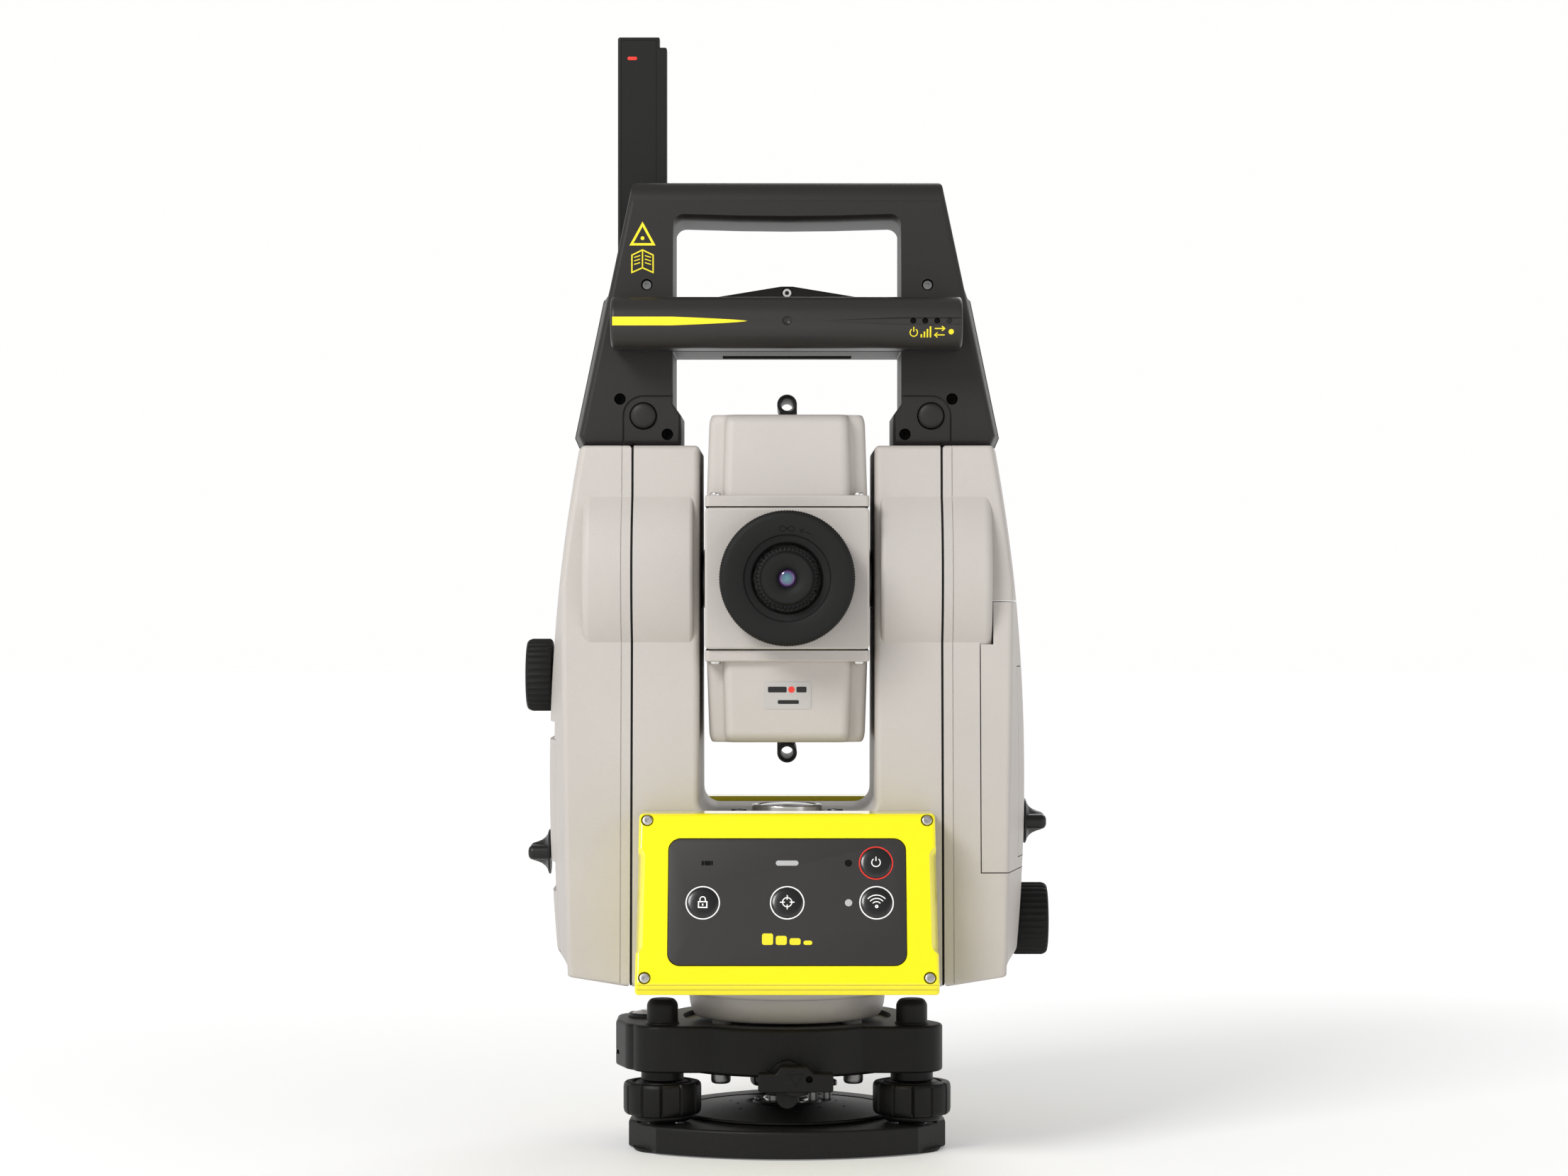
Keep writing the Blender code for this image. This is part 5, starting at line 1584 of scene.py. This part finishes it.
def make_antenna():
    lowest, highest = low("antenna"), high("antenna")
    left, right, foot, top = lowest.x, highest.x, lowest.z, highest.z
    corners = [
        (left, foot, 4), (right, foot, 4), (right, top - 4.5, 0.8), (right - 3.2, top - 4.5, 0.4),
        (right - 3.2, top, 0.5), (left, top, 1.0),
    ]
    paddle = add(
        "antenna_paddle", slab(corners, "Y", 31.0, highest.y, (1.0, 1.0)), "antenna", "antenna",
        ("antenna",),
    )
    for y in (30.7, highest.y + 0.3):
        ring = [
            (left + 1.5, top - 1.5), (right - 4.6, top - 1.5), (right - 4.6, foot + 8),
            (left + 1.5, foot + 8),
        ]
        shape = print_strip(
            ring, 0.3, lambda u, v,
            lift: Vector((u, y + (-1 if y > 35 else 1) * 0.6 + (1 if y > 35 else -1) * lift, v)), 1.4,
            closed=True,
        )
        cut(paddle, shape)
    join(paddle, turned([(5.0, 17), (5.0, 33)], "Y", HINGE, 64))
    add(
        "antenna_mark",
        slab(rectangle(2.1, 0.75, 0.7, (left + 6.4, top - 9.4)), "Y", 30.86, 31.3, (0.05, 0)), "red",
        "antenna",
    )
    evened(paddle)


# Telescope


BLOCK_X = high("telescope_housing").x
BLOCK_Z = high("telescope_housing").z - TILT_Z
BLOCK_Y = (low("telescope_housing").y, high("telescope_housing").y)
COVER_END = high("telescope_top_cover").z - TILT_Z
FLANGE = 34.7
COVER_TAPER = 0.00095  # how much of a telescope cover's width goes for each millimetre beyond its flange


def make_telescope_housing():
    corners = rectangle(BLOCK_X, BLOCK_Z, 2.0, (0, TILT_Z))
    housing = add(
        "telescope_block", slab(corners, "Y", *BLOCK_Y, (1.2, 1.2)), "shell", "telescope",
        ("telescope_housing",),
    )
    cut(housing, around_tilt([(24.0, -40), (24.0, 70)], 96), around_tilt([(14.0, -70), (14.0, -30)], 64))
    for side in (-1, 1):
        cut(housing, around_x(side, [(12.3, 26.8), (12.3, 40)], TILT_Z, 48))
    evened(housing)


def cover_plan(inset):
    """Plan of a telescope cover: a full-depth middle between set-back corners."""
    right = [
        (26.4, -55, 4), (26.9, -47.4, 2.4), (33.7, -46, 3.5), (33.7, 46, 3.5), (26.9, 47.4, 2.4),
        (26.4, 55, 4),
    ]
    return outline(both_sides(right), inset, 10)


def above_or_below(side):
    """From heights over the tilting axis to the whole object, upright or turned over."""
    return Matrix.Translation((0, 0, TILT_Z)) @ Matrix.Rotation(0 if side > 0 else math.pi, 4, "Y")


def make_telescope_cover(name, side):
    place = above_or_below(side)
    heights = [(BLOCK_Z + 2, 0.0), (FLANGE - 0.2, 0.0), (45, 0.0), (55, 0.0), (COVER_END - 5.0, 0.0)]
    heights += [(COVER_END - 5.0 * (1 - math.sin(a)), 1 - math.cos(a)) for a in quarter(9, 1)]
    rings = []
    for z, pull in heights:
        taper = 1 - COVER_TAPER * (z - FLANGE)
        ring = []
        for p in cover_plan(0):
            # The fronts roll over in a wide curve and the sides in a tight one
            x = p.x - math.copysign(1.6 * pull, p.x) if abs(p.x) > 27 else p.x * (1 - 0.05 * pull)
            y = p.y - math.copysign(5.4 * pull, p.y) if abs(p.y) > 50 else p.y * (1 - 0.035 * pull)
            ring.append((x * taper, y * taper, z))
        rings.append(ring)
    cover = add(name + "_shell", moved(skin(rings), place), "shell", "telescope", (name,))
    flange = slab(rectangle(BLOCK_X, 58, 2.0), "Z", BLOCK_Z + 0.55, FLANGE, (0.1, 0.9))
    join(cover, moved(flange, place))
    cut(cover, moved(block((-25, -38, 20), (25, 38, 61)), place))
    for i, (u, v) in enumerate(((-30.0, -52.5), (30.0, -52.5), (-30.0, 52.5), (30.0, 52.5))):
        screw_head(
            f"{name}_screw_{i}", "telescope", "steel", place @ Matrix.Translation((u, v, FLANGE)), 2.4, 1.2
        )
    evened(cover)
    # A black ring in the joint between the cover's flange and the block, as painted shade in the gap.
    joint_shade_ring = frame_ring(BLOCK_X - 0.5, 57.4, BLOCK_Z - 0.05, BLOCK_Z + 0.6)
    add(name + "_packing", moved(joint_shade_ring, place), "black_and_shade", "telescope")


def frame_ring(half_u, half_v, start, end):
    """A flat rectangular ring, 3 mm wide."""
    outer = [(p.x, p.y) for p in outline(rectangle(half_u, half_v, 2), 0, 6)]
    inner = [(p.x, p.y) for p in outline(rectangle(half_u, half_v, 2), 3.0, 6)]
    rings = [
        [(*p, start) for p in outer], [(*p, end) for p in outer], [(*p, end) for p in inner],
        [(*p, start) for p in inner],
    ]
    return skin(rings, closed=True)


def make_sight(name, side):
    place = above_or_below(side)
    axis = 74.0
    mouth = [(2.6, 25.6), (3.3, 25.9), (3.4, 27.0), (3.6, 27.4), (3.9, 27.4), (4.2, 27.0)]
    bore = [(r, -y) for r, y in mouth] + [(r, y) for r, y in reversed(mouth)]
    tube = add(
        name + "_tube", moved(turned(bore, "Y", (0, axis), 96, hollow=True), place), "anodised",
        "telescope", (name,),
    )
    join(
        tube,
        moved(
            slab(
                [
                    (-3.7, COVER_END - 0.2, 0.4), (4.2, COVER_END - 0.2, 0), (4.2, axis - 0.2, 0),
                    (3.0, axis - 2.6, 0), (-3.0, axis - 2.9, 0),
                ],
                "Y", -25.6, 25.6, (0.3, 0.3),
            ),
            place,
        ),
    )
    evened(tube)
    add(
        name + "_plate",
        moved(
            slab(rectangle(3.7, 14, 0.6, (9.0, 0)), "Z", COVER_END - 0.05, COVER_END + 0.75, (0, 0.2)),
            place,
        ),
        "anodised", "telescope",
    )


def make_trunnions():
    for name, side in (("left_trunnion", -1), ("right_trunnion", 1)):
        collar = softened(
            [(11.9, 27.2), (11.9, 35.0), (12.6, 35.2), (12.6, 36.4), (11.9, 36.6), (11.9, 63.5)], 0.3
        )
        add(name + "_shaft", around_x(side, collar, TILT_Z, 96), "dark_steel", "telescope", (name,))


def make_objective():
    back = high("objective_ring").y
    ring = [
        (23.6, 40), (23.6, 58.3), (27.8, 58.3), (28.5, 58.9), (28.5, back - 2.0), (28.2, back - 1.0),
        (27.4, back - 0.2), (26.4, back),
    ]
    ring += [
        (25.0, back), (24.4, back - 0.4), (24.1, back - 1.4), (23.7, back - 1.5), (23.7, back - 3.0),
        (23.3, back - 3.1), (23.3, back - 4.6), (22.9, back - 4.7), (22.6, 64), (22.5, 40),
    ]
    add(
        "objective_barrel", around_tilt(ring, 192, hollow=True), "anodised", "telescope",
        ("objective_ring",),
    )
    lens = [(22.0, 56), (22.2, 58), (22.2, 60)] + [
        (22.0 * math.cos(a), 60 + 4.3 * math.sin(a))
        for a in quarter(16, 1, 15)
    ]
    add("objective_glass", around_tilt(lens, 128), "objective", "telescope", ("objective_lens",))


def make_focus_ring():
    """A plain drum with a fine knurl around its front edge and stepped rings around the eyepiece."""
    front = low("focus_ring").y

    def knurled(radius, angle):
        if radius < 27.9:
            return radius
        return radius - 0.32 * (0.5 + 0.5 * math.cos(angle * 150)) ** 2

    outer = [
        (26.0, -60.4), (27.6, -60.6), (27.8, -61.4), (27.8, -64.0), (28.1, -64.3), (28.1, -76.6),
        (28.05, -77.6), (27.85, -78.2),
    ]
    outer += [(27.5, -78.9), (26.9, -79.5), (26.1, -79.9), (25.0, front + 0.02), (18.6, front)]
    inner = [
        (18.0, front + 0.3), (17.7, -78.7), (15.4, -78.3), (14.9, -78.1), (14.6, -77.2), (14.2, -76.8),
        (14.2, -60.4),
    ]
    add(
        "focus_drum", around_tilt(outer + inner, 900, hollow=True, grip=knurled), "rubber", "focus_ring",
        ("focus_ring",),
    )
    place = lambda u, v, lift: Vector((u, front - lift, TILT_Z + v))
    reach = 20.4
    turns = [math.radians(t) for t in range(0, 360, 10)]
    infinity = [(2.9 * math.sin(t), reach + 1.1 * math.sin(2 * t)) for t in turns]
    arrow_line = [polar(reach, t) for t in range(61, 75, 2)]
    arrow_head = [polar(reach + 1.0, 71.5), polar(reach, 75), polar(reach - 1.0, 71.5)]
    marks = [print_strip(infinity, 0.3, place, 0.04, closed=True)]
    marks += [print_strip(line, 0.3, place, 0.04) for line in (arrow_line, arrow_head)]
    add("focus_marks", merged(*marks), "black_and_shade", "focus_ring")


def make_eyepiece():
    front = low("eyepiece").y

    def ribbed(radius, angle):
        if not 12.2 < radius < 13.45:
            return radius
        return radius - 0.85 * (0.5 + 0.5 * math.cos(angle * 44)) ** 0.7

    stem = [
        (12.0, -48), (13.4, -61.5), (13.4, -78.6), (13.2, -79.4), (12.6, -79.9), (11.6, -80.2),
        (11.2, -80.2), (11.0, -80.6),
    ]
    tip = [
        (10.9, -81.2), (10.85, -83.8), (10.6, -84.5), (10.0, front), (8.2, front), (7.4, front + 0.15),
        (5.6, front + 0.6), (4.4, front + 1.4), (3.9, front + 2.4), (3.75, front + 4.6),
    ]
    add("eyepiece_barrel", around_tilt(stem + tip, 384, grip=ribbed), "rubber", "eyepiece", ("eyepiece",))
    lens = [
        (3.7, front + 4.5), (3.7, front + 3.4), (3.0, front + 2.95), (2.0, front + 2.65),
        (1.0, front + 2.5), (0.15, front + 2.45),
    ]
    add("eyepiece_lens", around_tilt(lens, 64), "ocular", "eyepiece")


def make_telescope_label():
    """A pale blank plate with a red dot and generic bars, on the lower cover's front."""
    z_low, z_high = TILT_Z - 54.6, TILT_Z - 43.2
    y_at = lambda z: -55.0 * (1 - COVER_TAPER * (TILT_Z - z - FLANGE))
    place = lambda u, v, lift: Vector((u, y_at(v) - lift, v))
    plate = outline(
        [(-9.5, z_low, 1.0), (10.0, z_low, 1.0), (10.0, z_high, 1.0), (-9.5, z_high, 1.0)], 0, 6
    )
    add("telescope_label", print_fill([tuple(p) for p in plate], place, 0.22), "label", "telescope")
    raised = lambda u, v, lift: place(u, v, lift + 0.22)
    dot = print_fill(circle_points(1.35, (1.8, 195.6), count=40), raised, PRINT)
    add("telescope_label_dot", dot, "red", "telescope")
    bars = []
    for u, v, half_u, half_v in ((-4.1, 195.6, 3.9, 1.2), (6.0, 195.6, 2.1, 1.2), (0.5, 190.4, 4.4, 0.8)):
        bars.append(
            print_fill(
                [tuple(p) for p in outline(rectangle(half_u, half_v, 0.5, (u, v)), 0, 4)], raised, 0.07
            )
        )
    add("telescope_label_bars", merged(*bars), "anodised", "telescope")


def finish_inner_nodes():
    """Procedural finishes for the CAD nodes that stay as they are."""
    looks = {
        "steel": ("axis_spindle", "left_bearing", "right_bearing"),
        "glass": ("horizontal_circle", "vertical_circle"),
        "alloy": ("azimuth_motor", "tilt_motor", "distance_meter"),
        "board": ("circuit_board",),
        "charcoal": ("battery",),
        "antenna": ("memory_card",),
    }
    for look, names in looks.items():
        for name in names:
            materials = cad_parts[name].data.materials
            materials.clear()
            materials.append(LOOKS[look][0])


# Both lenses carry a painted reflection of their coating.
LOOKS["objective"] = (lens_with_painted_reflection("objective_painted_reflection", (0, 62, TILT_Z), 22.0), "optical_glass")
LOOKS["ocular"] = (lens_with_painted_reflection("ocular_painted_reflection", (0, -82.5, TILT_Z), 4.0), "optical_glass")


# The floor's glow is dimmer under the instrument: a painted shadow around its foot.
FLOOR_GLOW_AND_PAINTED_SHADOW = (0.15, 0.6)  # under the instrument, and far from it
WORLD_STRENGTH = (1.0, 0.38)  # along the horizon, and overhead


def make_stage():
    obj = linked("floor", slab(arc(9000, 0, 359.9, 90)[:-1], "Z", -20, 0))
    made, tree, shader, coordinates = shaded("pale_floor", 0.6, Specular_IOR_Level=0.2)
    tinted(tree, shader, coordinates, (0.82, 0.82, 0.82), 0.01, 3.0)
    shader.inputs["Emission Color"].default_value = (1, 1, 1, 1)
    distance = node(tree, "VectorMath", operation="LENGTH")
    # Glow rises with distance from the instrument, so the dimmer floor near it is painted shadow.
    spread = node(tree, "MapRange", From_Min=0.15, From_Max=1.6, To_Min=FLOOR_GLOW_AND_PAINTED_SHADOW[0], To_Max=FLOOR_GLOW_AND_PAINTED_SHADOW[1])
    tree.links.new(coordinates, distance.inputs[0])
    tree.links.new(distance.outputs["Value"], spread.inputs["Value"])
    tree.links.new(spread.outputs["Result"], shader.inputs["Emission Strength"])
    obj.data.materials.append(made)


def area_light(name, location, target, size, energy):
    data = bpy.data.lights.new(name, "AREA")
    data.shape = "RECTANGLE"
    data.size, data.size_y = size
    data.energy = energy
    light = bpy.data.objects.new(name, data)
    light.location = location
    light.rotation_euler = (Vector(target) - Vector(location)).to_track_quat("-Z", "Y").to_euler()
    bpy.context.scene.collection.objects.link(light)


def make_lights():
    world = bpy.data.worlds.new("studio")
    world.use_nodes = True
    tree = world.node_tree
    background = tree.nodes["Background"]
    background.inputs["Color"].default_value = (1.0, 0.997, 0.992, 1)
    coordinates = node(tree, "TexCoord")
    parts = node(tree, "SeparateXYZ")
    rise = node(tree, "Math", operation="ABSOLUTE")
    spread = node(
        tree, "MapRange", From_Min=0.18, From_Max=0.5, To_Min=WORLD_STRENGTH[0], To_Max=WORLD_STRENGTH[1]
    )
    tree.links.new(coordinates.outputs["Generated"], parts.inputs["Vector"])
    tree.links.new(parts.outputs["Z"], rise.inputs[0])
    tree.links.new(rise.outputs["Value"], spread.inputs["Value"])
    tree.links.new(spread.outputs["Result"], background.inputs["Strength"])
    bpy.context.scene.world = world
    bpy.context.scene.view_settings.view_transform = "Standard"
    area_light("key", (-1.1, -1.5, 1.5), (0, 0, 0.25), (0.9, 0.7), 34)
    area_light("fill", (1.3, -1.1, 0.5), (0, 0, 0.22), (0.8, 0.8), 2)
    area_light("rim", (0.5, 1.4, 1.3), (0, 0, 0.3), (1.0, 0.6), 8)


def make_camera():
    """85 mm lens, level, in front of the instrument at the height of its tilting axis."""
    data = bpy.data.cameras.new("camera")
    data.lens = 85
    data.sensor_width = 36
    data.clip_start = 0.05
    data.clip_end = 40
    camera = bpy.data.objects.new("camera", data)
    camera.location = (-0.0013, -1.600, 0.238)
    camera.rotation_euler = (math.radians(90), 0, 0)
    bpy.context.scene.collection.objects.link(camera)
    bpy.context.scene.camera = camera


def build():
    make_base_plate()
    make_spring_plate()
    make_tribrach_body()
    make_tribrach_level()
    make_footscrews()
    make_lock_lever()
    make_instrument_base()
    make_alidade_frame()
    make_covers()
    make_doors()
    make_locks()
    make_drive_knobs()
    make_round_level()
    for side in KEYBOARDS:
        make_keyboard_case(side)
        make_key_panel(side)
        make_keys(side)
    make_handle_front()
    make_handle_rear()
    make_handle_buttons()
    make_handle_marks()
    make_radio_module()
    make_antenna()
    make_telescope_housing()
    make_telescope_cover("telescope_top_cover", 1)
    make_telescope_cover("telescope_bottom_cover", -1)
    make_sight("sight_top", 1)
    make_sight("sight_bottom", -1)
    make_trunnions()
    make_objective()
    make_focus_ring()
    make_eyepiece()
    make_telescope_label()
    finish_inner_nodes()
    make_stage()
    make_lights()
    make_camera()


build()
